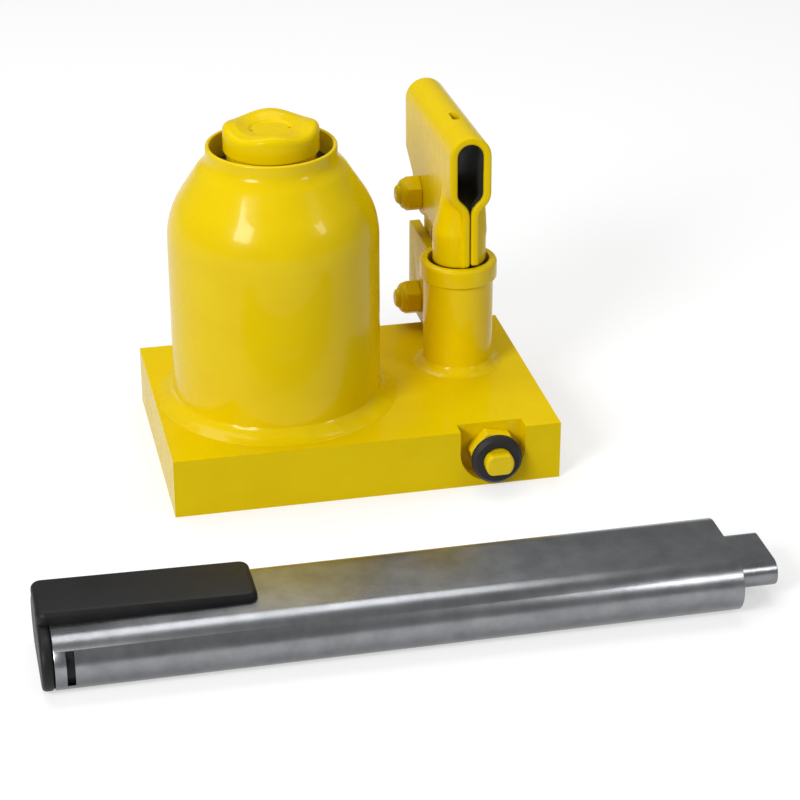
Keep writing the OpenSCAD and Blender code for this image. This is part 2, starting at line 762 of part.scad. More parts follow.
// Two ears welded to the back of the pump tube, with a stiffening web between them
module pivot_bracket() {
    ear_front = pump_y + 6;
    ear_size = [anchor_y + ear_back - ear_front, ear_top_z - ear_bottom_z];
    color(yellow) difference() {
        union() {
            for (side = [-1, 1]) translate([lever_x + side * (ear_in + ear_t / 2) - ear_t / 2, 0, 0])
                along_x(ear_t) translate([ear_front, ear_bottom_z]) round_rect(ear_size, ear_corner);
            translate([lever_x - ear_in - 1, web_back - web_t, ear_bottom_z])
                cube([2 * ear_in + 2, web_t, ear_size[1] - 8]);
        }
        translate([pump_x, pump_y, 0]) cylinder(r = pump_r, h = 200);
        translate([pump_x, pump_y, 0])
            cylinder(r = pump_r + pump_weld[0] + 0.3, h = base_h + pump_weld[1] + 0.3);
        translate([lever_x - 30, anchor_y, anchor_z]) rotate([0, 90, 0])
            cylinder(r = bolt_r + bolt_fit, h = 60);
        translate([pump_x, pump_y, collar_top_z - collar_h - 0.3]) cylinder(r = collar_r + 0.3, h = 40);
    }
}

// A bolt along X with its head on the right and a lock nut's room on the left
module pivot_bolt(grip) {
    tail = nut_h + 2.2;
    color(yellow) {
        translate([-grip / 2 - tail, 0, 0]) rotate([0, 90, 0]) {
            cylinder(r1 = bolt_r - 1.4, r2 = bolt_r, h = 1.4);
            translate([0, 0, 1.4]) cylinder(r = bolt_r, h = grip + tail - 1.4);
        }
        translate([grip / 2, 0, 0]) rotate([0, 90, 0]) {
            cylinder(d = hex_af / cos(30), h = 6, $fn = 6);
            translate([0, 0, 6]) cylinder(d1 = hex_af, d2 = hex_af - 2, h = 0.6);
        }
    }
}

// A hexagon with a rounded collar, threaded on the bolt's end
module pivot_nut(grip) {
    hex_h = nut_h - 3;
    color(yellow) translate([-grip / 2, 0, 0]) rotate([0, -90, 0]) difference() {
        union() {
            cylinder(d = hex_af / cos(30), h = hex_h, $fn = 6);
            translate([0, 0, hex_h]) rotate_extrude() polygon([
                [0, 0], [hex_af / 2, 0], [hex_af / 2 - 0.3, 1.1], [hex_af / 2 - 1, 2.2],
                [hex_af / 2 - 2.2, 3], [0, 3]
            ]);
        }
        translate([0, 0, -1]) cylinder(r = bolt_r, h = nut_h + 2);
    }
}

module upper_bolt() { lever_frame() pivot_bolt(2 * cheek_out); }
module upper_nut() { lever_frame() pivot_nut(2 * cheek_out); }

// Places children on the lower bolt
module anchor_frame() { translate([lever_x, anchor_y, anchor_z]) children(); }

module lower_bolt() { anchor_frame() pivot_bolt(2 * ear_out); }
module lower_nut() { anchor_frame() pivot_nut(2 * ear_out); }

// ---------- release valve ----------

// A hexagon nut that seals the spindle into the base
module valve_gland() {
    color(yellow) translate([pump_x, pocket_back_y, valve_z]) rotate([-90, 0, 0]) difference() {
        union() {
            translate([0, 0, -valve_gland_head]) rotate([0, 0, 12])
                cylinder(d = gland_af / cos(30), h = valve_gland_head, $fn = 6);
            cylinder(r = valve_gland_r, h = valve_gland_len);
        }
        translate([0, 0, -valve_gland_head - 1]) cylinder(r = spindle_r + run_fit, h = 40);
    }
}

module release_spindle() {
    shank = spindle_end_y - spindle_head_y;
    color(yellow) translate([pump_x, spindle_head_y, valve_z]) rotate([-90, 0, 0]) difference() {
        union() {
            cylinder(r1 = spindle_r - 0.8, r2 = spindle_r, h = 0.8);
            translate([0, 0, 0.8]) cylinder(r = spindle_r, h = shank - 0.8);
            translate([0, 0, shank - 1]) cylinder(r = 4.1, h = valve_seat_y - 7.5 - spindle_end_y + 1);
        }
        for (side = [-1, 1]) translate([-20, side * (spindle_flats / 2 + 5) - 5, -1])
            cube([40, 10, spindle_head_len]);
        translate([0, 0, shank - 5]) difference() {
            cylinder(r = spindle_r + 1, h = 2.2);
            translate([0, 0, -1]) cylinder(r = spindle_r - 1.8, h = 5);
        }
    }
}

module release_ring() {
    color(black_rubber) translate([pump_x, front_y - ring_gap, valve_z]) rotate([90, 0, 0])
        rotate_extrude() polygon([
            [spindle_r, 0], [ring_r - 1.2, 0], [ring_r, 1.2], [ring_r, ring_t - 1.6],
            [ring_r - 1.6, ring_t], [spindle_r, ring_t]
        ]);
}

module spindle_o_ring() {
    color(black_rubber) translate([pump_x, spindle_end_y - 5 + 1.1, valve_z]) rotate([-90, 0, 0])
        rotate_extrude() translate([spindle_r - 0.95, 0]) circle(r = 0.85, $fn = 24);
}

module release_ball() {
    color(bright_steel) translate([pump_x, valve_seat_y - 4.3, valve_z]) sphere(r = 3.2);
}

// ---------- handle ----------

// Places an outline drawn with its width along Y on the handle's centre line, extruded from x1 to x2
module handle_run(x1, x2) {
    translate([x1, handle_y, handle_z]) along_x(x2 - x1) children();
}

module handle_tube() {
    color(zinc) difference() {
        handle_run(handle_ends[0], handle_ends[1]) difference() {
            oval(handle_size);
            oval(cavity_size);
        }
        translate([handle_ends[0] + 4.9, handle_y - handle_size[0] / 2 - 1, latch_z[0] - 0.3])
            cube([latch_w, 9, latch_z[1] - latch_z[0] + 0.6]);
    }
}

// Closes the outer tube: an end disc, a plug with a latch in the tube's slot, and a pad on top
module handle_grip() {
    pad_y = handle_y + pad_shift - pad_w / 2;
    plug = [cavity_size[0] - 0.4, cavity_size[1] - 0.4];
    color(black_plastic) {
        handle_run(handle_ends[0] - cap_t, handle_ends[0] - cap_t + 1)
            oval([handle_size[0] - 2, handle_size[1] - 2]);
        handle_run(handle_ends[0] - cap_t + 1, handle_ends[0]) oval(handle_size);
        difference() {
            union() {
                handle_run(handle_ends[0] - 1, handle_ends[0] + cap_plug) oval(plug);
                translate([handle_ends[0] + 5.2, handle_y - handle_size[0] / 2 + 3.6, latch_z[0]])
                    cube([latch_w - 0.6, 9, latch_z[1] - latch_z[0]]);
            }
            handle_run(handle_ends[0], handle_ends[0] + cap_plug + 1) oval([plug[0] - 6, plug[1] - 6]);
        }
        difference() {
            translate([handle_ends[0] - cap_t, pad_y, handle_z]) along_x(pad_len) polygon([
                [3, 0], [pad_w, 0], [pad_w, handle_z + pad_t - 2], [pad_w - 2, handle_z + pad_t],
                [1.5, handle_z + pad_t], [0, handle_z + pad_t - 1.5], [0, handle_z - 2]
            ]);
            handle_run(handle_ends[0], handle_ends[1]) oval(handle_size);
            handle_run(handle_ends[0] - eps, handle_ends[1])
                square([pad_w + 8, handle_size[1] - 8], center = true);
        }
    }
}

// A moulded guide in the outer tube's mouth
module handle_guide() {
    right = handle_ends[1] - guide_inset;
    color(black_plastic) handle_run(right - guide_len, right) difference() {
        oval(cavity_size);
        oval([inner_size[0] + 2 * side_gap, inner_size[1] + 2 * side_gap]);
    }
}

module handle_extension() {
    color(zinc) handle_run(inner_left, inner_right) difference() {
        oval(inner_size);
        oval([inner_size[0] - 2 * inner_wall, inner_size[1] - 2 * inner_wall]);
    }
}

// A moulded shoe that keeps the inner tube's end in line inside the outer tube
module extension_shoe() {
    color(black_plastic) handle_run(inner_left, inner_left + 22) difference() {
        oval([cavity_size[0] - 2 * side_gap, cavity_size[1] - 2 * side_gap]);
        oval(inner_size);
    }
}

base_plate();
reservoir_shell();
reservoir_weld();
pressure_cylinder();
cylinder_gasket();
top_gland();
gland_o_ring();
ram_wiper();
filler_plug();
ram();
saddle();
piston_seal();
piston_guide_ring();
pump_tube();
pump_weld_bead();
pump_gland();
pump_seal();
plunger();
pivot_bracket();
link();
lever_socket();
plunger_pin();
upper_bolt();
upper_nut();
lower_bolt();
lower_nut();
valve_gland();
release_spindle();
release_ring();
spindle_o_ring();
release_ball();
discharge_ball();
discharge_spring();
suction_ball();
suction_spring();
relief_ball();
relief_spring();
relief_screw();
passage_plugs();
handle_tube();
handle_grip();
handle_guide();
handle_extension();
extension_shoe();
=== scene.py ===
"""Low-profile hydraulic bottle jack and its two-piece pump handle, dressed for the part library.

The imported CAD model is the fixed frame. Painted pieces, the zinc-plated handle and its grip are
modelled again here with the soft edges and coats of the real ones. Everything else of the CAD
model stays and gets its finish. Sizes are in millimetres until they reach Blender.
"""

from __future__ import annotations

import json
import logging
import math
from dataclasses import dataclass
from enum import Enum
from typing import Callable, Sequence

import bpy
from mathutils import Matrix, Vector

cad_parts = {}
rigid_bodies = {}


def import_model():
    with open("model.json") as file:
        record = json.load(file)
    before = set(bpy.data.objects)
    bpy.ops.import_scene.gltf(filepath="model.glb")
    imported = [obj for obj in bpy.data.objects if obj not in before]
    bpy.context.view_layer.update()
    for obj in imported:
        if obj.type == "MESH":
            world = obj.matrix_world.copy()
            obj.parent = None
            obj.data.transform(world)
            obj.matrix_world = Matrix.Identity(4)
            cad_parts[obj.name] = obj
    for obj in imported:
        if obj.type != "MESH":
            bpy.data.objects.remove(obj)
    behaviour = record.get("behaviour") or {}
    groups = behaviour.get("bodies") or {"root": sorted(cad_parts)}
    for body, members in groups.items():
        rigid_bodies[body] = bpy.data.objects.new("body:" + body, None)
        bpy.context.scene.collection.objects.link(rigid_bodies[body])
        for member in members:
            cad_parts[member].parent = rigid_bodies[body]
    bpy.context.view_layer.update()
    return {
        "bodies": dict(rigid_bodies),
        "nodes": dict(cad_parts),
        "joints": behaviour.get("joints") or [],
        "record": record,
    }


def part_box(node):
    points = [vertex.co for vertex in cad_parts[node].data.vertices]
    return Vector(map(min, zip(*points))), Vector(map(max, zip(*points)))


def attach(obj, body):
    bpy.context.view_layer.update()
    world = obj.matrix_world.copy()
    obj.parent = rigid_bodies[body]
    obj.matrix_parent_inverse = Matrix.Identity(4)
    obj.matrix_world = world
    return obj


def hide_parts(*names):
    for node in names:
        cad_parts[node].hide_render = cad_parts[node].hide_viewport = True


LOG = logging.getLogger("bottle_jack")
MM = 0.001
PAST = 3.0  # how far a cutter stands out past a face, in millimetres
SLIP = 0.02  # how much larger a bore is than what stands in it, in millimetres
MIX_SHARE, MIX_FIRST, MIX_SECOND = 0, 6, 7  # a colour mix's inputs: factor, colour A, colour B
Point = tuple[float, float]
Solid = bpy.types.Object


class Body(Enum):
    """Bodies of the frame that a piece can ride on."""

    JACK = "jack_body"
    RAM = "ram"
    LINK = "link"
    LEVER = "lever"
    SPINDLE = "release_spindle"
    HANDLE = "handle"
    EXTENSION = "handle_extension"


class Slot(Enum):
    """The record's material slots."""

    PAINT = "yellow_paint"
    BRIGHT = "bright_steel"
    SPRING = "spring_steel"
    DARK = "dark_steel"
    BRASS = "brass"
    RUBBER = "rubber"
    ZINC = "zinc_plate"
    PLASTIC = "black_plastic"


class Element(Enum):
    """What edit mode selects."""

    VERTEX = "VERT"
    EDGE = "EDGE"
    FACE = "FACE"


class Joinery(Enum):
    """How other closed meshes act on a piece."""

    CUT = "DIFFERENCE"
    FUSE = "UNION"


# ---------------------------------------------------------------- bench work


def corner(node: str) -> tuple[Vector, Vector]:
    """Give a CAD node's box in millimetres.

    Args:
        node: Name of the CAD node.

    Returns:
        Its lowest and its highest corner.
    """
    low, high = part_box(node)
    return low / MM, high / MM


def middle(node: str) -> Vector:
    """Give the middle of a CAD node's box in millimetres."""
    low, high = corner(node)
    return (low + high) / 2


def share_of(value: float) -> float:
    """Keep a value between 0 and 1."""
    return min(1.0, max(0.0, value))


def soft_share_of(value: float) -> float:
    """Keep a value between 0 and 1, with a soft start and a soft end."""
    share = share_of(value)
    return share * share * (3 - 2 * share)


def only(piece: Solid) -> Solid:
    """Select one piece alone and make it active.

    Args:
        piece: The piece to select.

    Returns:
        The piece.
    """
    bpy.ops.object.select_all(action="DESELECT")
    piece.select_set(True)
    bpy.context.view_layer.objects.active = piece
    return piece


def open_up(piece: Solid) -> None:
    """Enter edit mode on one piece alone, with all of it selected.

    Args:
        piece: The piece to open.
    """
    only(piece)
    bpy.ops.object.mode_set(mode="EDIT")
    bpy.ops.mesh.select_all(action="SELECT")


def done() -> None:
    """Leave edit mode."""
    bpy.ops.object.mode_set(mode="OBJECT")


def settle(name: str) -> Solid:
    """Name the new primitive and put its place and size into its mesh.

    Args:
        name: The piece's name.

    Returns:
        The piece, at the origin.
    """
    piece = bpy.context.object
    piece.name = name
    piece.data.name = name
    bpy.ops.object.transform_apply(location=True, rotation=True, scale=True)
    return piece


def pick(piece: Solid, element: Element, test: Callable[[Vector, Vector], bool]) -> None:
    """Enter edit mode with the elements selected that pass a test.

    Args:
        piece: The piece to work on.
        element: What is selected.
        test: Gets a place in millimetres and a direction: a vertex and its normal, an edge's
            middle and run, or a face's centre and normal.
    """
    open_up(piece)
    bpy.ops.mesh.select_mode(type=element.value)
    bpy.ops.mesh.select_all(action="DESELECT")
    done()
    mesh = piece.data
    if element is Element.VERTEX:
        for vertex in mesh.vertices:
            vertex.select = test(vertex.co / MM, vertex.normal)
    elif element is Element.EDGE:
        for edge in mesh.edges:
            a, b = (mesh.vertices[i].co for i in edge.vertices)
            edge.select = test((a + b) / 2 / MM, (b - a).normalized())
    else:
        for face in mesh.polygons:
            face.select = test(face.center / MM, face.normal)
    bpy.ops.object.mode_set(mode="EDIT")


def finish_modifier(piece: Solid, kind: str, **settings: object) -> Solid:
    """Add a modifier and apply it.

    Args:
        piece: The piece to work on.
        kind: The modifier's type.
        settings: The modifier's own settings.

    Returns:
        The piece.
    """
    only(piece)
    modifier = piece.modifiers.new(kind.lower(), kind)
    for key, value in settings.items():
        setattr(modifier, key, value)
    bpy.ops.object.modifier_apply(modifier=modifier.name)
    return piece


def ease(piece: Solid, width: float, segments: int, angle: float, clamp: bool = True) -> Solid:
    """Round every edge sharper than an angle.

    Args:
        piece: The piece to work on.
        width: Width of the rounding in millimetres.
        segments: Faces across it.
        angle: Sharpness in degrees from which an edge is rounded.
        clamp: Whether the rounding shrinks where there is too little room for it.

    Returns:
        The piece.
    """
    return finish_modifier(
        piece, "BEVEL", width=width * MM, segments=segments, limit_method="ANGLE",
        angle_limit=math.radians(angle), use_clamp_overlap=clamp, miter_outer="MITER_ARC",
    )


def smooth(piece: Solid, angle: float = 40) -> Solid:
    """Shade a piece smooth.

    Args:
        piece: The piece to shade.
        angle: Sharpness in degrees from which an edge stays sharp.

    Returns:
        The piece.
    """
    only(piece)
    bpy.ops.object.shade_smooth_by_angle(angle=math.radians(angle))
    return piece


def combine(piece: Solid, how: Joinery, *others: Solid) -> Solid:
    """Cut other closed meshes out of a piece or melt them into it, and scrap them.

    Args:
        piece: The piece to work on.
        how: Whether they are cut out or melted in.
        others: The other meshes.

    Returns:
        The piece.
    """
    for other in others:
        finish_modifier(piece, "BOOLEAN", operation=how.value, solver="EXACT", object=other)
        bpy.data.objects.remove(other)
    return piece


def block(name: str, low: Sequence[float], high: Sequence[float]) -> Solid:
    """Add a cuboid between two corners in millimetres.

    Args:
        name: The piece's name.
        low: Its lowest corner.
        high: Its highest corner.

    Returns:
        The piece.
    """
    low_v, high_v = Vector(low) * MM, Vector(high) * MM
    bpy.ops.mesh.primitive_cube_add(size=1, location=(low_v + high_v) / 2, scale=high_v - low_v)
    return settle(name)


def rod(name: str, start: Sequence[float], end: Sequence[float], radius: float, sides: int,
        turn: float = 0) -> Solid:
    """Add a cylinder between two points in millimetres.

    Args:
        name: The piece's name.
        start: Centre of one end.
        end: Centre of the other.
        radius: Its radius.
        sides: How many sides it has.
        turn: How far it is turned about its own axis, in degrees.

    Returns:
        The piece.
    """
    a, b = Vector(start) * MM, Vector(end) * MM
    bpy.ops.mesh.primitive_cylinder_add(vertices=sides, radius=radius * MM, depth=(b - a).length)
    piece = bpy.context.object
    piece.rotation_mode = "QUATERNION"
    piece.rotation_quaternion = Vector((0, 0, 1)).rotation_difference((b - a).normalized())
    bpy.ops.object.transform_apply(location=False, rotation=True, scale=False)
    if turn:
        piece.rotation_mode = "AXIS_ANGLE"
        piece.rotation_axis_angle = (math.radians(turn), *(b - a).normalized())
        bpy.ops.object.transform_apply(location=False, rotation=True, scale=False)
    piece.location = (a + b) / 2
    return settle(name)


def rounded(outline: Sequence[Point], radii: dict[int, float], steps: int) -> list[Point]:
    """Round chosen corners of an outline with arcs.

    Args:
        outline: Corners in order.
        radii: Radius for each corner to round, by its number.
        steps: Straight pieces in each arc.

    Returns:
        The outline with arcs in place of those corners.
    """
    most = 0.49  # share of an edge that one arc may use up
    made: list[Point] = []
    for i, here in enumerate(outline):
        radius = radii.get(i)
        if not radius or i in (0, len(outline) - 1):
            made.append(here)
            continue
        at = Vector(here)
        to_a, to_b = Vector(outline[i - 1]) - at, Vector(outline[i + 1]) - at
        half = to_a.angle(to_b) / 2
        reach = min(radius / math.tan(half), most * to_a.length, most * to_b.length)
        radius = reach * math.tan(half)
        a, b = to_a.normalized(), to_b.normalized()
        centre = at + (a + b).normalized() * radius / math.sin(half)
        start, end = at + a * reach - centre, at + b * reach - centre
        sweep = start.angle(end)
        for k in range(steps + 1):
            before, after = math.sin((1 - k / steps) * sweep), math.sin(k / steps * sweep)
            made.append(tuple(centre + (start * before + end * after) / math.sin(sweep)))
    return made


def turned(name: str, outline: Sequence[Point], steps: int, centre: Point = (0, 0)) -> Solid:
    """Turn a piece on the lathe: a chain of vertices is drawn and spun about an upright axis.

    Args:
        name: The piece's name.
        outline: Distances from the axis and heights along it, in order.
        steps: Faces round it.
        centre: Where the axis stands.

    Returns:
        The piece, closed, with its faces outwards.
    """
    bpy.ops.object.select_all(action="DESELECT")
    bpy.ops.mesh.primitive_plane_add(size=MM)
    open_up(bpy.context.object)
    bpy.ops.mesh.merge(type="CENTER")
    bpy.ops.transform.translate(value=(outline[0][0] * MM, 0, outline[0][1] * MM))
    for before, after in zip(outline, outline[1:]):
        step = ((after[0] - before[0]) * MM, 0, (after[1] - before[1]) * MM)
        bpy.ops.mesh.extrude_region_move(TRANSFORM_OT_translate={"value": step})
    bpy.ops.mesh.select_all(action="SELECT")
    bpy.ops.mesh.spin(steps=steps, angle=math.tau, center=(0, 0, 0), axis=(0, 0, 1))
    bpy.ops.mesh.select_all(action="SELECT")
    bpy.ops.mesh.remove_doubles(threshold=0.001 * MM)
    bpy.ops.mesh.select_all(action="SELECT")
    bpy.ops.mesh.normals_make_consistent(inside=False)
    done()
    bpy.context.object.location = Vector((*centre, 0)) * MM
    return settle(name)


def wobble(piece: Solid, depth: float, size: float, low: float, high: float) -> Solid:
    """Give hand-laid metal its unevenness with a procedural cloud.

    Args:
        piece: The piece to work on.
        depth: Most a point moves along its normal, in millimetres.
        size: Size of the waves in millimetres.
        low: Lowest height that moves.
        high: Highest height that moves.

    Returns:
        The piece.
    """
    cloud = bpy.data.textures.new(piece.name + "_cloud", "CLOUDS")
    cloud.noise_scale = size * MM
    cloud.noise_depth = 1
    group = piece.vertex_groups.new(name="uneven")
    group.add([v.index for v in piece.data.vertices if low < v.co.z / MM < high], 1, "REPLACE")
    finish_modifier(
        piece, "DISPLACE", texture=cloud, texture_coords="LOCAL", strength=2 * depth * MM,
        mid_level=0.5, vertex_group="uneven",
    )
    piece.vertex_groups.clear()
    bpy.data.textures.remove(cloud)
    return piece


def casting_of(node: str, name: str) -> Solid:
    """Copy a CAD node into a new piece with clean flat faces.

    Args:
        node: The CAD node to copy.
        name: The new piece's name.

    Returns:
        The new piece.
    """
    piece = bpy.data.objects.new(name, bpy.data.objects[node].data.copy())
    bpy.context.scene.collection.objects.link(piece)
    piece.data.name = name
    piece.data.materials.clear()
    open_up(piece)
    bpy.ops.mesh.remove_doubles(threshold=0.002 * MM)
    bpy.ops.mesh.dissolve_limited(angle_limit=math.radians(0.8))
    done()
    if piece.data.has_custom_normals:
        bpy.ops.mesh.customdata_custom_splitnormals_clear()
    return piece


def thickly_painted(piece: Solid, grain: float, rounds: int, keep: float) -> Solid:
    """Bury a forged or bent piece's edges under a thick even coat.

    Args:
        piece: The piece to work on.
        grain: Size of the fine mesh that stands for the coat, in millimetres.
        rounds: How often the surface is evened out.
        keep: Share of the faces left at the end.

    Returns:
        The piece.
    """
    finish_modifier(piece, "REMESH", mode="VOXEL", voxel_size=grain * MM, use_smooth_shade=True)
    finish_modifier(piece, "SMOOTH", factor=0.5, iterations=rounds)
    finish_modifier(piece, "DECIMATE", ratio=keep)
    return piece


def place(piece: Solid, body: Body, finish: bpy.types.Material, node: str) -> Solid:
    """Dress a finished piece, tie it to its body and let it stand for its CAD node.

    Args:
        piece: The finished piece.
        body: The body it rides on.
        finish: Its material.
        node: The CAD node it stands for.

    Returns:
        The piece.
    """
    piece.data.materials.clear()
    piece.data.materials.append(finish)
    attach(piece, body.value)
    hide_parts(node)
    LOG.info("%s: %d faces", piece.name, len(piece.data.polygons))
    return piece


# ---------------------------------------------------------------- finishes


def linear(hex_colour: str) -> tuple[float, float, float, float]:
    """Turn an sRGB hex colour into the linear colour that a shader socket takes.

    Args:
        hex_colour: The colour as "#rrggbb".

    Returns:
        Red, green, blue and alpha.
    """
    parts = [int(hex_colour[i : i + 2], 16) / 255 for i in (1, 3, 5)]
    return (*(c / 12.92 if c <= 0.04045 else ((c + 0.055) / 1.055) ** 2.4 for c in parts), 1.0)


def add_node(tree: bpy.types.NodeTree, kind: str, sockets: dict[str | int, object] | None = None,
             **settings: object) -> bpy.types.Node:
    """Add a node with its settings, and fill or link its sockets.

    Args:
        tree: The node tree.
        kind: The node's type.
        sockets: For each input, by name or number, a value, an output, or a node whose first
            open output is meant.
        settings: The node's own settings.

    Returns:
        The node.
    """
    made = tree.nodes.new(kind)
    for key, value in settings.items():
        setattr(made, key, value)
    for key, value in (sockets or {}).items():
        if isinstance(value, bpy.types.Node):
            value = next(output for output in value.outputs if output.enabled)
        if isinstance(value, bpy.types.NodeSocket):
            tree.links.new(value, made.inputs[key])
        else:
            made.inputs[key].default_value = value
    return made


def mottled(tree: bpy.types.NodeTree, clouds: bpy.types.Node, span: Point, first: str,
            second: str) -> bpy.types.Node:
    """Let a surface's colour drift between two tones.

    Args:
        tree: The material's node tree.
        clouds: The noise that the colour follows.
        span: The noise's values where the first tone ends and the second one is full.
        first: One tone, as "#rrggbb".
        second: The other.

    Returns:
        The node that gives the colour.
    """
    share = add_node(tree, "ShaderNodeMapRange", {
        "Value": clouds, "From Min": span[0], "From Max": span[1],
    })
    return add_node(tree, "ShaderNodeMix", {
        MIX_SHARE: share, MIX_FIRST: linear(first), MIX_SECOND: linear(second),
    }, data_type="RGBA")


@dataclass(frozen=True)
class Finish:
    """A finish with a name, made once and shared by every piece that has it.

    The sizes of its patterns are the real ones in millimetres, unless a comment says otherwise.
    """

    name: str

    def material(self) -> bpy.types.Material:
        """Give the finish's material, built the first time it is asked for.

        Returns:
            The material.
        """
        found = bpy.data.materials.get(self.name)
        if found:
            return found
        made = bpy.data.materials.new(self.name)
        made.use_nodes = True
        tree = made.node_tree
        tree.nodes.clear()
        place_on = add_node(tree, "ShaderNodeTexCoord").outputs["Object"]
        add_node(tree, "ShaderNodeOutputMaterial", {"Surface": self.shader(tree, place_on)})
        return made

    def shader(self, tree: bpy.types.NodeTree, place_on: bpy.types.NodeSocket) -> bpy.types.Node:
        """Add the finish's own nodes.

        Args:
            tree: The material's node tree.
            place_on: Object coordinates in metres.

        Returns:
            The principled shader.
        """
        raise NotImplementedError


@dataclass(frozen=True)
class Enamel(Finish):
    """Glossy alkyd enamel sprayed over cast and bent steel.

    The eye gets an even, strong yellow with softened edges, clear small highlights, the long
    waves of a wet coat, and a slightly deeper tone where it lies thicker.
    """

    deep: str = "#e6c500"
    light: str = "#ebcd01"
    gleam: float = 0.11
    coat: float = 0.2
    pools: float = 26.0
    patches: float = 9.0
    sags: float = 14.0
    # peel is really about 1 mm across; drawn at 2.2 mm, as coarse as it needs to show
    peel: float = 2.2

    def shader(self, tree: bpy.types.NodeTree, place_on: bpy.types.NodeSocket) -> bpy.types.Node:
        """Add the enamel's tone, gloss and orange peel.

        Args:
            tree: The material's node tree.
            place_on: Object coordinates in metres.

        Returns:
            The principled shader.
        """
        pooled, patchy, skin, flow = (
            add_node(tree, "ShaderNodeTexNoise", {
                "Vector": place_on, "Scale": 1 / (size * MM), "Detail": detail, "Roughness": rough,
            })
            for size, detail, rough in (
                (self.pools, 4, 0.55), (self.patches, 2, 0.5), (self.peel, 2, 0.5),
                (self.sags, 2, 0.4),
            )
        )
        tone = mottled(tree, pooled, (0.25, 0.75), self.deep, self.light)
        gloss = add_node(tree, "ShaderNodeMapRange", {
            "Value": patchy, "From Min": 0.3, "From Max": 0.7, "To Min": 0.22, "To Max": 0.3,
        })
        fine = add_node(tree, "ShaderNodeBump", {
            "Strength": 0.05, "Distance": 0.2 * MM, "Height": skin,
        })
        wavy = add_node(tree, "ShaderNodeBump", {
            "Strength": 0.06, "Distance": MM, "Height": flow, "Normal": fine,
        })
        return add_node(tree, "ShaderNodeBsdfPrincipled", {
            "Base Color": tone, "Roughness": gloss, "Normal": wavy, "Coat Normal": wavy,
            "IOR": 1.5, "Specular IOR Level": self.gleam, "Coat Weight": self.coat,
            "Coat Roughness": 0.05,
        })


@dataclass(frozen=True)
class BareSheetInsideShade(Finish):
    """Hot-rolled sheet with its mill scale, where the spray gun does not reach.

    Its near-black is also painted shade: it stands for the shade inside the lever's socket.
    The eye gets a dull brown-black that swallows what little light comes in.
    """

    colour: str = "#34332d"
    shade: str = "#262520"
    stains: float = 5.0

    def shader(self, tree: bpy.types.NodeTree, place_on: bpy.types.NodeSocket) -> bpy.types.Node:
        """Add the scale's stain and grain.

        Args:
            tree: The material's node tree.
            place_on: Object coordinates in metres.

        Returns:
            The principled shader.
        """
        stain = add_node(tree, "ShaderNodeTexNoise", {
            "Vector": place_on, "Scale": 1 / (self.stains * MM), "Detail": 4, "Roughness": 0.6,
        })
        tone = mottled(tree, stain, (0.35, 0.65), self.shade, self.colour)
        dull = add_node(tree, "ShaderNodeMapRange", {
            "Value": stain, "From Min": 0.3, "From Max": 0.7, "To Min": 0.55, "To Max": 0.7,
        })
        grain = add_node(tree, "ShaderNodeBump", {
            "Strength": 0.2, "Distance": 0.1 * MM, "Height": stain,
        })
        return add_node(tree, "ShaderNodeBsdfPrincipled", {
            "Base Color": tone, "Roughness": dull, "Normal": grain,
        })


@dataclass(frozen=True)
class ZincPlate(Finish):
    """Bright zinc plate on drawn steel tube, handled in the workshop.

    The eye gets a smooth grey metal with a fine spangle, short marks across the tube, duller
    patches, and painted shade that darkens it towards its underside, with a little painted
    light that lifts its top.
    """

    light: str = "#9b9da0"
    dark: str = "#888a8d"
    blotches: float = 9.0
    dulling: float = 22.0
    spangle: float = 1.7
    marks: float = 0.8
    # heights in millimetres over which the painted shade on the underside gives way to a little
    # painted light on top
    underside_shade: Point = (3.0, 18.0)

    def shader(self, tree: bpy.types.NodeTree, place_on: bpy.types.NodeSocket) -> bpy.types.Node:
        """Add the plate's patches, its painted shade low down, its spangle and its marks across the
        tube.

        Args:
            tree: The material's node tree.
            place_on: Object coordinates in metres.

        Returns:
            The principled shader.
        """
        across = add_node(tree, "ShaderNodeMapping", {"Vector": place_on, "Scale": (1, 0.3, 0.3)})
        blotch, dim, crystals, streaks = (
            add_node(tree, "ShaderNodeTexNoise", {
                "Vector": along, "Scale": 1 / (size * MM), "Detail": detail, "Roughness": rough,
            })
            for along, size, detail, rough in (
                (place_on, self.blotches, 4, 0.6), (place_on, self.dulling, 1, 0.4),
                (place_on, self.spangle, 3, 0.6), (across, self.marks, 3, 0.6),
            )
        )
        tone = mottled(tree, blotch, (0.3, 0.72), self.dark, self.light)
        # painted shade and light: the tone darkens towards the tube's underside and lightens a
        # little on top
        height = add_node(tree, "ShaderNodeSeparateXYZ", {"Vector": place_on}).outputs["Z"]
        clean = add_node(tree, "ShaderNodeMapRange", {
            "Value": height, "From Min": self.underside_shade[0] * MM, "From Max": self.underside_shade[1] * MM,
            "To Min": 0.45, "To Max": 1.08,
        })
        # the tone with its painted shade and light
        stained = add_node(tree, "ShaderNodeVectorMath", {
            "Vector": tone, "Scale": clean,
        }, operation="SCALE")
        dull = add_node(tree, "ShaderNodeMapRange", {
            "Value": dim, "From Min": 0.3, "From Max": 0.7, "To Min": 0.27, "To Max": 0.34,
        })
        dent = add_node(tree, "ShaderNodeBump", {
            "Strength": 0.16, "Distance": 0.2 * MM, "Height": crystals,
        })
        drawn = add_node(tree, "ShaderNodeBump", {
            "Strength": 0.08, "Distance": 0.1 * MM, "Height": streaks, "Normal": dent,
        })
        return add_node(tree, "ShaderNodeBsdfPrincipled", {
            "Base Color": stained, "Roughness": dull, "Normal": drawn, "Metallic": 1.0,
        })


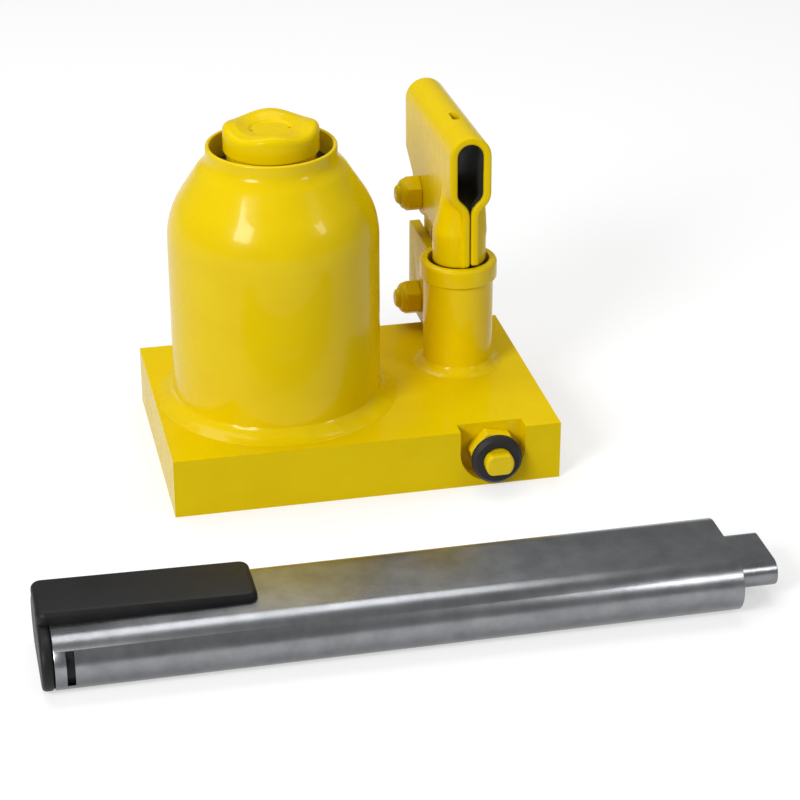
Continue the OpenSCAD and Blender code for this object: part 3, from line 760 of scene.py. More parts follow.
@dataclass(frozen=True)
class MachinedMetal(Finish):
    """Ground, turned or drawn metal left bare.

    The eye gets a clean metal, faintly stained, with fine rings round its axis.
    """

    colour: str
    shade: str
    dullness: float
    stains: float = 6.0
    # turning lines are really 0.1 mm apart; drawn at 0.5 mm so that they show
    lines: float = 0.5

    def shader(self, tree: bpy.types.NodeTree, place_on: bpy.types.NodeSocket) -> bpy.types.Node:
        """Add the metal's stain and turning lines.

        Args:
            tree: The material's node tree.
            place_on: Object coordinates in metres.

        Returns:
            The principled shader.
        """
        stain = add_node(tree, "ShaderNodeTexNoise", {
            "Vector": place_on, "Scale": 1 / (self.stains * MM), "Detail": 4, "Roughness": 0.6,
        })
        tone = mottled(tree, stain, (0.35, 0.65), self.shade, self.colour)
        around = add_node(tree, "ShaderNodeMapping", {
            "Vector": place_on, "Scale": (0.05, 0.05, 1),
        })
        rings = add_node(tree, "ShaderNodeTexNoise", {
            "Vector": around, "Scale": 1 / (self.lines * MM), "Detail": 2, "Roughness": 0.5,
        })
        dull = add_node(tree, "ShaderNodeMapRange", {
            "Value": rings, "From Min": 0.3, "From Max": 0.7,
            "To Min": self.dullness - 0.06, "To Max": self.dullness + 0.1,
        })
        cut_marks = add_node(tree, "ShaderNodeBump", {
            "Strength": 0.15, "Distance": 0.1 * MM, "Height": rings,
        })
        return add_node(tree, "ShaderNodeBsdfPrincipled", {
            "Base Color": tone, "Roughness": dull, "Normal": cut_marks, "Metallic": 1.0,
        })


@dataclass(frozen=True)
class MouldedRubberOrPlastic(Finish):
    """Black nitrile rubber or moulded polyamide.

    The eye gets a near-black grey with a fine moulded grain and a dull sheen.
    """

    colour: str
    rubbed: str
    grain: float
    patches: float = 12.0

    def shader(self, tree: bpy.types.NodeTree, place_on: bpy.types.NodeSocket) -> bpy.types.Node:
        """Add the moulding's grain and its rubbed patches.

        Args:
            tree: The material's node tree.
            place_on: Object coordinates in metres.

        Returns:
            The principled shader.
        """
        patchy = add_node(tree, "ShaderNodeTexNoise", {
            "Vector": place_on, "Scale": 1 / (self.patches * MM), "Detail": 3, "Roughness": 0.5,
        })
        tone = mottled(tree, patchy, (0.35, 0.7), self.colour, self.rubbed)
        dull = add_node(tree, "ShaderNodeMapRange", {
            "Value": patchy, "From Min": 0.3, "From Max": 0.7, "To Min": 0.43, "To Max": 0.58,
        })
        pores = add_node(tree, "ShaderNodeTexNoise", {
            "Vector": place_on, "Scale": 1 / (self.grain * MM), "Detail": 2, "Roughness": 0.5,
        })
        skin = add_node(tree, "ShaderNodeBump", {
            "Strength": 0.22, "Distance": 0.1 * MM, "Height": pores,
        })
        return add_node(tree, "ShaderNodeBsdfPrincipled", {
            "Base Color": tone, "Roughness": dull, "Normal": skin, "IOR": 1.5,
            "Specular IOR Level": 0.27,
        })


@dataclass(frozen=True)
class Palette:
    """All the finishes of this jack."""

    enamel: Finish = Enamel("thick_yellow_enamel")
    thin: Finish = Enamel("thin_yellow_enamel", gleam=0.035, coat=0.1)
    bright: Finish = MachinedMetal("ground_bright_steel", "#b4b7ba", "#abaeb2", 0.18)
    spring: Finish = MachinedMetal("drawn_spring_steel", "#9a9da1", "#75787c", 0.3)
    dark: Finish = MachinedMetal("black_oxide_steel", "#4a4c50", "#34363a", 0.38)
    brass: Finish = MachinedMetal("turned_bronze_and_brass", "#c09a4c", "#9c7a36", 0.3)
    rubber: Finish = MouldedRubberOrPlastic("black_nitrile_rubber", "#1d1d1f", "#29292b", 0.6)
    plastic: Finish = MouldedRubberOrPlastic("moulded_black_polyamide", "#111112", "#18181a", 0.9)
    zinc: Finish = ZincPlate("bright_zinc_plate")
    # near-black for the inside of the lever's socket: bare sheet, and painted shade there as well
    scale: Finish = BareSheetInsideShade("bare_sheet_inside_shade")

    def for_slot(self, slot: Slot) -> bpy.types.Material:
        """Give the material for a record's slot.

        Args:
            slot: The slot.

        Returns:
            Its material.
        """
        by_slot = {
            Slot.PAINT: self.enamel, Slot.BRIGHT: self.bright, Slot.SPRING: self.spring,
            Slot.DARK: self.dark, Slot.BRASS: self.brass, Slot.RUBBER: self.rubber,
            Slot.ZINC: self.zinc, Slot.PLASTIC: self.plastic,
        }
        return by_slot[slot].material()


# ---------------------------------------------------------------- the jack


@dataclass
class BasePlate:
    """The thick steel base with the open pocket for the release valve."""

    palette: Palette
    edge: float = 1.7
    pocket_radius: float = 15.8
    pocket_depth: float = 8.5
    pocket_shift: float = -1.2
    pocket_floor: float = 2.0
    duct_radius: float = 3.2
    duct_z: float = 7.0
    duct_start: float = 11.0
    pump_spigot: float = 12.0
    pump_seat: float = 16.0
    gland_thread: float = 9.0
    valve_way_radius: float = 4.2
    valve_way_depth: float = 22.5
    fit: float = 0.05

    def build(self) -> None:
        """Cut the pocket and the bores, round the painted edges and dress the plate."""
        low, high = corner("base_plate")
        plate = block("painted_base_plate", low, high)
        pump, ram, valve = middle("pump_tube"), middle("ram"), middle("valve_gland")
        x, z = valve.x + self.pocket_shift, self.pocket_radius + self.pocket_floor
        front, back = low.y - PAST, low.y + self.pocket_depth
        combine(
            plate, Joinery.CUT,
            rod("pocket", (x, front, z), (x, back, z), self.pocket_radius, 96),
            block("pocket_top", (x - self.pocket_radius, front, z),
                  (x + self.pocket_radius, back, high.z + PAST)),
        )
        ease(plate, self.edge, 4, 40)
        duct_z, over, behind = self.duct_z, high.z + PAST, high.y + PAST
        duct = self.duct_radius + SLIP
        cylinder_low, cylinder_high = corner("pressure_cylinder")
        seat_radius = (cylinder_high.x - cylinder_low.x) / 2 + self.fit
        shaft_z, gland_end = middle("release_spindle").z, corner("valve_gland")[1].y
        combine(
            plate, Joinery.CUT,
            rod("seat", (ram.x, ram.y, corner("cylinder_gasket")[0].z), (ram.x, ram.y, over),
                seat_radius, 96),
            rod("pump_seat", (pump.x, pump.y, high.z - self.pump_seat), (pump.x, pump.y, over),
                self.pump_spigot + self.fit, 64),
            rod("valve_seat", (valve.x, back - PAST, shaft_z), (valve.x, gland_end, shaft_z),
                self.gland_thread + SLIP, 64),
            rod("valve_way", (valve.x, back, shaft_z),
                (valve.x, gland_end + self.valve_way_depth, shaft_z), self.valve_way_radius, 32),
            rod("pump_way", (ram.x + self.duct_start, pump.y, duct_z),
                (high.x + PAST, pump.y, duct_z), duct, 32),
            *[rod(name, (way_x, pump.y, duct_z), (way_x, behind, duct_z), duct, 32)
              for name, way_x in (("suction_way", middle("suction_ball").x),
                                  ("relief_way", middle("relief_screw").x))],
        )
        smooth(plate, 30)
        place(plate, Body.JACK, self.palette.thin.material(), "base_plate")


@dataclass
class Reservoir:
    """The welded oil reservoir: a straight wall, a domed shoulder and a short neck."""

    palette: Palette
    wall: float = 4.5
    arc: float = 39.4
    arc_steps: int = 14
    lean: float = 33.0
    # the steeper band under the neck: how far it comes out, and its height
    brow: Point = (4.55, 5.0)
    brow_round: float = 18.0
    neck_radius: float = 30.8
    neck_bore: float = 28.8
    neck_straight: float = 6.27
    neck_crease: float = 6.5
    lip_rounds: Point = (1.25, 0.7)
    # spare rings in the straight wall, above its foot and below the shoulder, for even shading
    rings: Point = (30.0, 8.0)
    gland_depth: float = 31.0
    filler_radius: float = 5.0
    filler_depth: float = 12.0
    steps: int = 160
    weld_reach: Point = (8.5, 5.5)

    def build(self) -> None:
        """Turn the shell and its weld and dress them."""
        low, high = corner("reservoir_shell")
        radius, top, foot = high.x, high.z, low.z
        lean = math.radians(self.lean)
        neck_z = top - self.neck_straight
        gland_z = top - self.gland_depth
        inside = radius - self.wall
        arc_end = radius - self.arc * (1 - math.cos(lean))
        brow = (self.neck_radius + self.brow[0], neck_z - self.brow[1])
        cone_z = brow[1] - (arc_end - brow[0]) / math.tan(lean)
        start = cone_z - self.arc * math.sin(lean)
        turns = [lean * i / self.arc_steps for i in range(self.arc_steps + 1)]
        neck = rounded(
            [(arc_end, cone_z), brow, (self.neck_radius, neck_z), (self.neck_radius, top),
             (self.neck_bore, top), (self.neck_bore, gland_z)],
            {1: self.brow_round, 2: self.neck_crease, 3: self.lip_rounds[0],
             4: self.lip_rounds[1]}, 9,
        )
        outline = [
            (inside, foot), (radius, foot),
            (radius, foot + self.rings[0]), (radius, start - self.rings[1]),
            *[(radius - self.arc * (1 - math.cos(a)), start + self.arc * math.sin(a))
              for a in turns],
            *neck[1:],
            # inside, where nothing shows, the wall only follows roughly
            (self.neck_bore + 3, gland_z - 3), (inside - 2, start), (inside, start - 4),
            (inside, foot),
        ]
        shell = turned("painted_reservoir", outline, self.steps)
        plug = middle("filler_plug")
        combine(shell, Joinery.CUT, rod(
            "filler_hole", (plug.x, radius - self.filler_depth, plug.z),
            (plug.x, radius + PAST, plug.z), self.filler_radius + SLIP, 48,
        ))
        paint = self.palette.for_slot(Slot.PAINT)
        place(smooth(shell, 42), Body.JACK, paint, "reservoir_shell")
        bead = weld_bead("painted_reservoir_weld", radius, foot, self.weld_reach, self.steps)
        place(bead, Body.JACK, paint, "reservoir_weld")


def weld_bead(name: str, radius: float, foot: float, reach: Point, steps: int,
              centre: Point = (0, 0)) -> Solid:
    """Lay a painted weld round an upright tube.

    Args:
        name: The piece's name.
        radius: Outer radius of the tube.
        foot: Height it is laid on.
        reach: How far it comes out and up.
        steps: Faces round it.
        centre: The tube's axis.

    Returns:
        The bead, slightly hollow on its face and uneven as welds are.
    """
    hollow, parts, toe_round = 0.6, 10, 0.6
    # it is uneven from this far above its lower toe to this far below its upper one
    unevenness, wave, low, high = 0.45, 9, 0.4, 0.5
    face: list[Point] = []
    for i in range(parts + 1):
        share, turn = i / parts, math.pi / 2 * i / parts
        out = hollow * (1 - math.sin(turn)) + (1 - hollow) * (1 - share)
        up = hollow * (1 - math.cos(turn)) + (1 - hollow) * share
        face.append((radius + reach[0] * out, foot + reach[1] * up))
    sunk = (radius + SLIP, foot)
    toes = rounded([sunk, *face], {1: toe_round, len(face): toe_round}, 3)
    bead = turned(name, [*toes, sunk], steps, centre)
    wobble(bead, unevenness, wave, foot + low, foot + reach[1] - high)
    return smooth(bead, 60)


@dataclass
class Saddle:
    """The forged cap on the ram, with a shallow dish and soft waves round its rim."""

    palette: Palette
    spigot_radius: float = 9.0
    skirt: float = 7.4
    step: float = 1.6
    step_rounds: Point = (0.8, 1.2)
    band: float = 4.0
    # how far in from the outside and how far down the rim's crest ends
    rim: Point = (6.2, 0.1)
    # how far outside the dish and how far down its slope turns in
    slope: Point = (1.0, 2.3)
    rim_rounds: tuple[float, ...] = (3.4, 3.2, 1.0, 0.7)
    disc_radius: float = 9.3
    disc_drop: float = 3.1
    lobes: int = 4
    lobe_turn: float = -8.0
    wave_depth: float = 1.9
    # the waves are full this far in from the outside, and start this far above the step
    wave_margin: float = 3.0
    # below the rim they are full down to this depth
    wave_top: float = 2.0
    pit_radius: float = 0.95
    pit_depth: float = 1.6
    pit_inset: float = 0.3
    # longest piece of the outline where the waves bend it
    fine: float = 0.8
    steps: int = 144

    def outline(self, radius: float, top: float, under: float, spigot: float) -> list[Point]:
        """Draw the cap from the bottom of its spigot to the middle of its dish.

        Args:
            radius: Its outer radius.
            top: Height of its rim.
            under: Height of its underside.
            spigot: Height of its spigot's end.

        Returns:
            The outline, with short pieces where the waves bend it.
        """
        disc, floor, edge = self.disc_radius, top - self.disc_drop, under + self.skirt
        foot = rounded(
            [(radius - self.step, under + 1), (radius - self.step, edge), (radius, edge),
             (radius, edge + self.band)],
            dict(enumerate(self.step_rounds, 1)), 5,
        )
        crest = rounded(
            [(radius, edge + self.band), (radius, top), (radius - self.rim[0], top - self.rim[1]),
             (disc + self.slope[0], top - self.slope[1]), (disc, floor), (disc - 3, floor)],
            dict(enumerate(self.rim_rounds, 1)), 9,
        )
        dense: list[Point] = []
        for a, b in zip(crest, crest[1:]):
            parts = max(1, round(math.dist(a, b) / self.fine))
            dense += [(a[0] + (b[0] - a[0]) * k / parts, a[1] + (b[1] - a[1]) * k / parts)
                      for k in range(parts)]
        return [
            (0, spigot), (self.spigot_radius, spigot), (self.spigot_radius, under),
            (radius - self.step, under), *foot[:-1], *dense, crest[-1], (0, floor),
        ]

    def build(self) -> None:
        """Turn the cap, press the waves into its rim and punch its two pits."""
        low, high = corner("saddle")
        radius, top, under = high.x, high.z, corner("ram")[1].z
        disc = self.disc_radius
        cap = turned("forged_saddle", self.outline(radius, top, under, low.z), self.steps)
        # no operator follows a wave round a rim, so its vertices are lowered by the wave's formula
        still, full = under + self.skirt + self.wave_margin, top - self.wave_top
        for vertex in cap.data.vertices:
            x, y, z = vertex.co / MM
            turn = self.lobes * (math.atan2(y, x) - math.radians(self.lobe_turn))
            dip = self.wave_depth * (0.5 - 0.5 * math.cos(turn))
            dip *= soft_share_of((math.hypot(x, y) - disc) / (radius - self.wave_margin - disc))
            vertex.co.z -= dip * share_of((z - still) / (full - still)) * MM
        pit_x, pit_z = disc - self.pit_inset, top - self.disc_drop - self.pit_depth
        combine(cap, Joinery.CUT, *[
            rod("pit", (side * pit_x, 0, pit_z), (side * pit_x, 0, top + PAST), self.pit_radius, 24)
            for side in (-1, 1)
        ])
        place(smooth(cap, 50), Body.RAM, self.palette.thin.material(), "saddle")


@dataclass
class PumpTube:
    """The upright pump tube with its rounded collar and its weld."""

    palette: Palette
    tube_radius: float = 17.1
    spigot_radius: float = 12.0
    collar_height: float = 9.8
    collar_rounds: tuple[float, ...] = (0.9, 1.0, 2.9, 0.5)
    bore: float = 15.0
    bore_depth: float = 23.0
    plunger_bore: float = 7.05
    plunger_bore_foot: float = 3.0
    way_radius: float = 2.5
    steps: int = 112
    weld_reach: Point = (5.0, 4.0)

    def build(self) -> None:
        """Turn the tube and its weld bead and dress them."""
        low, high = corner("pump_tube")
        centre, deck = middle("pump_tube"), corner("base_plate")[1].z
        axis = (centre.x, centre.y)
        rim, top = high.x - centre.x, high.z
        under, floor = top - self.collar_height, top - self.bore_depth
        bore_foot = low.z + self.plunger_bore_foot
        collar = rounded(
            [(self.tube_radius, under - 12), (self.tube_radius, under), (rim, under + 0.2),
             (rim, top), (self.bore, top), (self.bore, floor)],
            dict(enumerate(self.collar_rounds, 1)), 7,
        )
        outline = [
            (self.way_radius, low.z), (self.spigot_radius, low.z), (self.spigot_radius, deck),
            (self.tube_radius, deck), *collar, (self.plunger_bore, floor),
            (self.plunger_bore, bore_foot), (self.way_radius, bore_foot),
            (self.way_radius, low.z),
        ]
        paint = self.palette.for_slot(Slot.PAINT)
        tube = turned("painted_pump_tube", outline, self.steps, axis)
        place(smooth(tube, 42), Body.JACK, paint, "pump_tube")
        bead = weld_bead(
            "painted_pump_weld", self.tube_radius, deck, self.weld_reach, self.steps, axis,
        )
        place(bead, Body.JACK, paint, "pump_weld_bead")


@dataclass
class LeverSocket:
    """The lever: one steel sheet folded over to an open socket.

    In front its two walls bend together into a seam, and behind the seam they are drawn out round
    the plunger. Sizes are in the lever's own frame, whose origin is on the upper bolt.
    """

    palette: Palette
    sheet: float = 3.8
    half: float = 10.2
    roof: float = 39.9
    lap: float = 4.1
    low: float = 9.5
    high: float = 21.6
    front: float = -67.0
    back: float = 32.0
    pump: Point = (-2.5, -52.0)
    bulge: float = 12.8
    # the height from which the drawn-out part narrows, and by how much for each millimetre
    taper: Point = (-1.2, 0.367)
    # where the seam starts to open, and over what length
    opening: Point = (-62.5, 9.0)
    # width of the soft bend beside the drawn-out part: below, and what it gains higher up
    bend: Point = (2.0, 4.5)
    # the height from which it gains, and over what height
    bend_rise: Point = (-6.0, 12.0)
    # the lower edge of the side walls: places along the lever and heights
    hem: tuple[Point, ...] = (
        (-67, -15.6), (-64, -15.6), (-62, -14.6), (-36.2, -14.6), (-27.2, -7.6), (-12, -7.4),
        (-9.5, -8.6), (-6, -10.4), (0, -11.4), (5, -10.3), (8.5, -7.4), (15.5, 4), (32, 14.1),
    )
    # round the plunger the hem drops to this height, within this radius, over this width
    hem_drop: tuple[float, float, float] = (-17.2, 14.3, 0.9)
    tilt: float = 1.9
    bolt_hole: float = 5.1
    # the latch slot: how far behind the front, its straight length and its radius
    latch_slot: tuple[float, float, float] = (36.0, 7.0, 2.0)
    # how far behind the front the inside stays yellow; behind that it takes the near-black painted
    # shade
    inside_shade_inset: float = 3.0
    edge: float = 1.15
    # faces: length of a fine one, how many fine and coarse ones along, up a wall, over the roof
    margin: float = 1.7
    fine: float = 0.5
    fine_steps: int = 51
    coarse_steps: int = 38
    rows: int = 44
    turns: int = 24

    def seam_wall(self, z: float) -> float:
        """Give the outside half width of the front: wall, double bend and lap.

        Args:
            z: Height above the bolt.

        Returns:
            The distance from the lever's middle.
        """
        if z >= self.high:
            return self.half
        if z <= self.low:
            return self.lap
        rise, run = self.high - self.low, self.half - self.lap
        turn = 2 * math.atan(run / rise)
        radius = rise / (2 * math.sin(turn))
        outer, inner = radius + self.sheet / 2, radius - self.sheet / 2
        if z > self.high - outer * math.sin(turn):
            return self.half - outer + math.sqrt(outer**2 - (self.high - z) ** 2)
        return self.lap + inner - math.sqrt(inner**2 - (z - self.low) ** 2)

    def wall(self, y: float, z: float, side: int) -> float:
        """Give the outside half width anywhere on a side wall.

        Args:
            y: Place along the lever.
            z: Height above the bolt.
            side: -1 for the left wall, 1 for the right one.

        Returns:
            The distance from the lever's middle.
        """
        share = soft_share_of((y - self.opening[0]) / self.opening[1])
        plain = self.seam_wall(z) * (1 - share) + self.half * share
        radius = self.bulge - self.taper[1] * max(0.0, z - self.taper[0])
        ahead = abs(y - self.pump[1])
        drawn = side * self.pump[0]
        # beside the drawn-out part its width drops away steeply, so that the plain wall counts
        drawn += math.sqrt(radius**2 - ahead**2) if ahead < radius else -3 * (ahead - radius)
        rise = share_of((z - self.bend_rise[0]) / self.bend_rise[1])
        bend = self.bend[0] + self.bend[1] * rise
        near = max(0.0, 1 - abs(plain - drawn) / bend)
        return max(plain, drawn) + near * near * bend / 4

    def foot(self, y: float, side: int) -> float:
        """Give the height of a side wall's lower edge.

        Args:
            y: Place along the lever.
            side: -1 for the left wall, 1 for the right one.

        Returns:
            The height above the bolt.
        """
        height = self.hem[-1][1]
        for (y0, z0), (y1, z1) in zip(self.hem, self.hem[1:]):
            if y0 <= y <= y1:
                height = z0 + (z1 - z0) * (y - y0) / (y1 - y0)
        drop, reach, width = self.hem_drop
        off = math.hypot(self.wall(y, -10, side) - side * self.pump[0], y - self.pump[1])
        return height + (drop - height) * soft_share_of((reach - off) / width)

    def fold(self) -> Solid:
        """Fold a flat grid into the sheet's outside face.

        The walls run into each other by formula, which no operator follows, so each row of the
        grid is laid on the path that the sheet takes there.

        Returns:
            The sheet, without thickness.
        """
        fine_end = self.front + self.margin + self.fine * self.fine_steps
        coarse = (self.back - self.margin - fine_end) / self.coarse_steps
        stations = [
            self.front,
            *[self.front + self.margin + self.fine * i for i in range(self.fine_steps + 1)],
            *[fine_end + coarse * i for i in range(1, self.coarse_steps + 1)],
            self.back,
        ]
        angles = [math.pi * i / self.turns for i in range(1, self.turns)]
        arch = [(-self.half * math.cos(a), self.roof + self.half * math.sin(a)) for a in angles]
        count = 2 * (self.rows + 1) + len(arch)
        bpy.ops.object.select_all(action="DESELECT")
        bpy.ops.mesh.primitive_grid_add(
            x_subdivisions=count - 1, y_subdivisions=len(stations) - 1, size=1,
        )
        sheet = settle("folded_lever_socket")
        for station, y in enumerate(stations):
            walls: list[list[Point]] = []
            for side in (-1, 1):
                foot = self.foot(y, side)
                rise = (self.roof - foot - self.margin) / (self.rows - 1)
                heights = [foot, *[foot + self.margin + rise * i for i in range(self.rows)]]
                walls.append([(side * self.wall(y, z, side), z) for z in heights])
            for i, (x, z) in enumerate([*walls[0], *arch, *walls[1][::-1]]):
                sheet.data.vertices[station * count + i].co = Vector((x, y, z)) * MM
        return sheet

    def slot_punch(self) -> Solid:
        """Make the punch for the latch slot in the socket's roof.

        Returns:
            The punch, standing in the lever's own frame.
        """
        behind, length, radius = self.latch_slot
        y, top = self.front + behind - length / 2, self.roof + self.half
        punch = rod("slot_punch", (0, y, top - 2 * PAST), (0, y, top + PAST), radius, 32)
        pick(punch, Element.VERTEX, lambda at, _: at.y > y)
        bpy.ops.transform.translate(value=(0, length * MM, 0))
        done()
        return punch

    def hang(self, piece: Solid, at: Vector) -> Solid:
        """Move a piece from the lever's own frame to its place on the upper bolt.

        Args:
            piece: The piece to move.
            at: The bolt's middle.

        Returns:
            The piece.
        """
        piece.rotation_euler = (-math.radians(self.tilt), 0, 0)
        piece.location = at * MM
        only(piece)
        bpy.ops.object.transform_apply(location=True, rotation=True, scale=False)
        return piece

    def build(self) -> None:
        """Fold the sheet, give it its thickness, pierce it and dress it."""
        # the sheet's inside takes the near-black finish: painted shade for the dark inside of the
        # socket
        paint, bare = self.palette.thin.material(), self.palette.scale.material()
        sheet = self.fold()
        sheet.data.materials.append(paint)
        sheet.data.materials.append(bare)
        open_up(sheet)
        bpy.ops.mesh.normals_make_consistent(inside=False)
        done()
        if max(sheet.data.polygons, key=lambda face: face.center.z).normal.z < 0:
            open_up(sheet)
            bpy.ops.mesh.flip_normals()
            done()
        finish_modifier(sheet, "SMOOTH", factor=0.5, iterations=2)
        finish_modifier(sheet, "SOLIDIFY", thickness=self.sheet * MM, offset=-1,
                        use_even_offset=True, material_offset=1)
        ease(sheet, self.edge, 4, 50, clamp=False)
        pin, bolt = middle("plunger_pin"), middle("upper_bolt")
        bolt.x = middle("link").x
        pin_low, pin_high = corner("plunger_pin")
        past_wall, past_bulge = self.half + PAST, self.bulge + PAST
        combine(
            self.hang(sheet, bolt), Joinery.CUT,
            rod("bolt_way", (bolt.x - past_wall, bolt.y, bolt.z),
                (bolt.x + past_wall, bolt.y, bolt.z), self.bolt_hole, 48),
            rod("pin_way", (pin.x - past_bulge, pin.y, pin.z), (pin.x + past_bulge, pin.y, pin.z),
                (pin_high.z - pin_low.z) / 2 + SLIP, 32),
            self.hang(self.slot_punch(), bolt),
        )
        finishes = [face.material_index for face in sheet.data.polygons]
        place(smooth(sheet, 40), Body.LEVER, paint, "lever_socket")
        sheet.data.materials.append(bare)
        # all inside faces but a strip at the front keep the near-black painted shade
        inside_shade_from = (bolt.y + self.front + self.inside_shade_inset) * MM
        for face, index in zip(sheet.data.polygons, finishes):
            face.material_index = index if face.center.y > inside_shade_from else 0


@dataclass
class Linkage:
    """The link and the bracket with their bolts."""

    palette: Palette
    edge: float = 0.9
    # the coat's fine mesh, how often it is evened out, and the share of it that stays
    coat: tuple[float, int, float] = (0.42, 12, 0.9)

    def build(self) -> None:
        """Coat the bracket, the link and the fasteners."""
        paint = self.palette.thin.material()
        for node, name, body, angle in (
            ("pivot_bracket", "welded_pivot_bracket", Body.JACK, 40),
            ("link", "painted_link", Body.LINK, 50),
        ):
            sheet = ease(casting_of(node, name), self.edge, 3, angle)
            place(smooth(sheet), body, paint, node)
        for node, body in (("upper_bolt", Body.LEVER), ("upper_nut", Body.LEVER),
                           ("lower_bolt", Body.JACK), ("lower_nut", Body.JACK)):
            piece = thickly_painted(casting_of(node, "painted_" + node), *self.coat)
            place(smooth(piece, 60), body, paint, node)


@dataclass
class ReleaseValve:
    """The release spindle and the gland nut that it turns in."""

    palette: Palette
    grain: float = 0.45
    keep: float = 0.8
    gland_rounds: int = 14
    spindle_rounds: int = 8

    def build(self) -> None:
        """Coat the gland nut and the spindle."""
        paint = self.palette.for_slot(Slot.PAINT)
        for node, name, body, rounds in (
            ("valve_gland", "painted_valve_gland", Body.JACK, self.gland_rounds),
            ("release_spindle", "release_spindle_painted", Body.SPINDLE, self.spindle_rounds),
        ):
            piece = thickly_painted(casting_of(node, name), self.grain, rounds, self.keep)
            place(smooth(piece, 60), body, paint, node)


@dataclass
class PumpHandle:
    """The two-piece pump handle: flat-oval tubes and a moulded grip."""

    palette: Palette
    wall: float = 2.0
    inner_wall: float = 1.8
    tube_edge: float = 0.45
    # the latch slot: its start and end along the tube, its foot and its head
    slot: tuple[float, float, float, float] = (4.9, 8.4, 5.9, 21.3)
    # the pad's left and right side, from the tube's middle
    pad: Point = (-8.5, 21.5)
    pad_corner: float = 4.5
    pad_edge: float = 2.4
    # how much the pad rises at its outer end, and over what length
    pad_rise: Point = (1.6, 10.0)
    cap_edge: float = 1.7
    plug: float = 16.0
    plug_wall: float = 3.0
    plug_play: float = 0.2
    # the latch: its length, and where it starts and ends across the tube
    latch: tuple[float, float, float] = (2.9, 3.6, 12.6)
    latch_play: float = 0.3
    sides: int = 96

    def oval_bar(self, name: str, ends: Point, centre: Vector, size: Point) -> Solid:
        """Draw a bar with a flat-oval section along the handle.

        Args:
            name: The piece's name.
            ends: Where it starts and ends along the handle.
            centre: A point on its middle line.
            size: Its section's width and height.

        Returns:
            The bar, with closed ends.
        """
        width, depth = size
        start, end = ((x, centre.y, centre.z) for x in ends)
        bar = rod(name, start, end, depth / 2, self.sides, 360 / self.sides / 2)
        for side in (-1, 1):
            pick(bar, Element.VERTEX, lambda at, _: (at.y - centre.y) * side > 0)
            bpy.ops.transform.translate(value=(0, side * (width - depth) / 2 * MM, 0))
            done()
        return bar

    def oval_tube(self, name: str, node: str, wall: float) -> Solid:
        """Draw a flat-oval tube of a CAD node's size.

        Args:
            name: The piece's name.
            node: The CAD node that it stands for.
            wall: Its wall.

        Returns:
            The tube with eased rims.
        """
        low, high = corner(node)
        size = (high.y - low.y, high.z - low.z)
        tube = self.oval_bar(name, (low.x, high.x), (low + high) / 2, size)
        pick(tube, Element.FACE, lambda _, way: abs(way.x) > 0.9)
        bpy.ops.mesh.delete(type="ONLY_FACE")
        done()
        finish_modifier(tube, "SOLIDIFY", thickness=wall * MM, offset=-1, use_even_offset=True)
        return ease(tube, self.tube_edge, 2, 50)

    def moulded_pad(self, low: Vector, high: Vector, centre: Vector) -> Solid:
        """Mould the grip's pad, which rises a little towards its outer end.

        Args:
            low: The grip's lowest corner.
            high: Its highest corner.
            centre: The middle of the tube.

        Returns:
            The pad, without room for the tube.
        """
        rise, length = self.pad_rise
        pad = block("moulded_grip", (low.x, centre.y + self.pad[0], centre.z),
                    (high.x, centre.y + self.pad[1], high.z))
        pick(pad, Element.EDGE, lambda _, run: abs(run.z) > 0.9)
        bpy.ops.mesh.bevel(offset=self.pad_corner * MM, segments=8)
        done()
        pick(pad, Element.VERTEX, lambda at, _: at.x < low.x + length and at.z > high.z - 1)
        bpy.ops.transform.translate(value=(0, 0, rise * MM))
        done()
        return ease(pad, self.pad_edge, 5, 40)

    def grip(self) -> Solid:
        """Mould the grip: an end cap, a hollow plug with its latch, and a rounded pad on top.

        Returns:
            The grip in one piece.
        """
        low, high = corner("handle_grip")
        tube_low, tube_high = corner("handle_tube")
        centre, mouth = (tube_low + tube_high) / 2, tube_low.x
        size = (tube_high.y - tube_low.y, tube_high.z - tube_low.z)
        inside = tuple(side - 2 * (self.wall + self.plug_play) for side in size)
        hollow = tuple(side - 2 * self.plug_wall for side in inside)
        pad = self.moulded_pad(low, high, centre)
        tube_room = self.oval_bar("tube_room", (mouth - 0.5, high.x + PAST), centre, size)
        combine(pad, Joinery.CUT, tube_room)
        cap = ease(self.oval_bar("end_cap", (low.x, mouth), centre, size), self.cap_edge, 4, 50)
        plug = self.oval_bar("cap_plug", (mouth - 1.5, mouth + self.plug), centre, inside)
        start, _, foot, head = self.slot
        length, left, right = self.latch
        start += mouth + self.latch_play
        latch = block("latch", (start, tube_low.y + left, foot + self.latch_play),
                      (start + length, tube_low.y + right, head - self.latch_play))
        room = self.oval_bar("plug_room", (mouth, mouth + self.plug + 1), centre, hollow)
        combine(pad, Joinery.FUSE, cap, plug, latch)
        return combine(pad, Joinery.CUT, room)

    def build(self) -> None:
        """Draw both tubes, cut the latch slot, mould the grip and dress them."""
        zinc, black = self.palette.for_slot(Slot.ZINC), self.palette.for_slot(Slot.PLASTIC)
        outer = self.oval_tube("zinc_outer_tube", "handle_tube", self.wall)
        low = corner("handle_tube")[0]
        start, end, foot, head = self.slot
        combine(outer, Joinery.CUT, block(
            "latch_slot", (low.x + start, low.y - 1, foot), (low.x + end, low.y + 8, head),
        ))
        place(smooth(outer, 30), Body.HANDLE, zinc, "handle_tube")
        inner = self.oval_tube("zinc_inner_tube", "handle_extension", self.inner_wall)
        place(smooth(inner, 30), Body.EXTENSION, zinc, "handle_extension")
        place(smooth(self.grip(), 50), Body.HANDLE, black, "handle_grip")


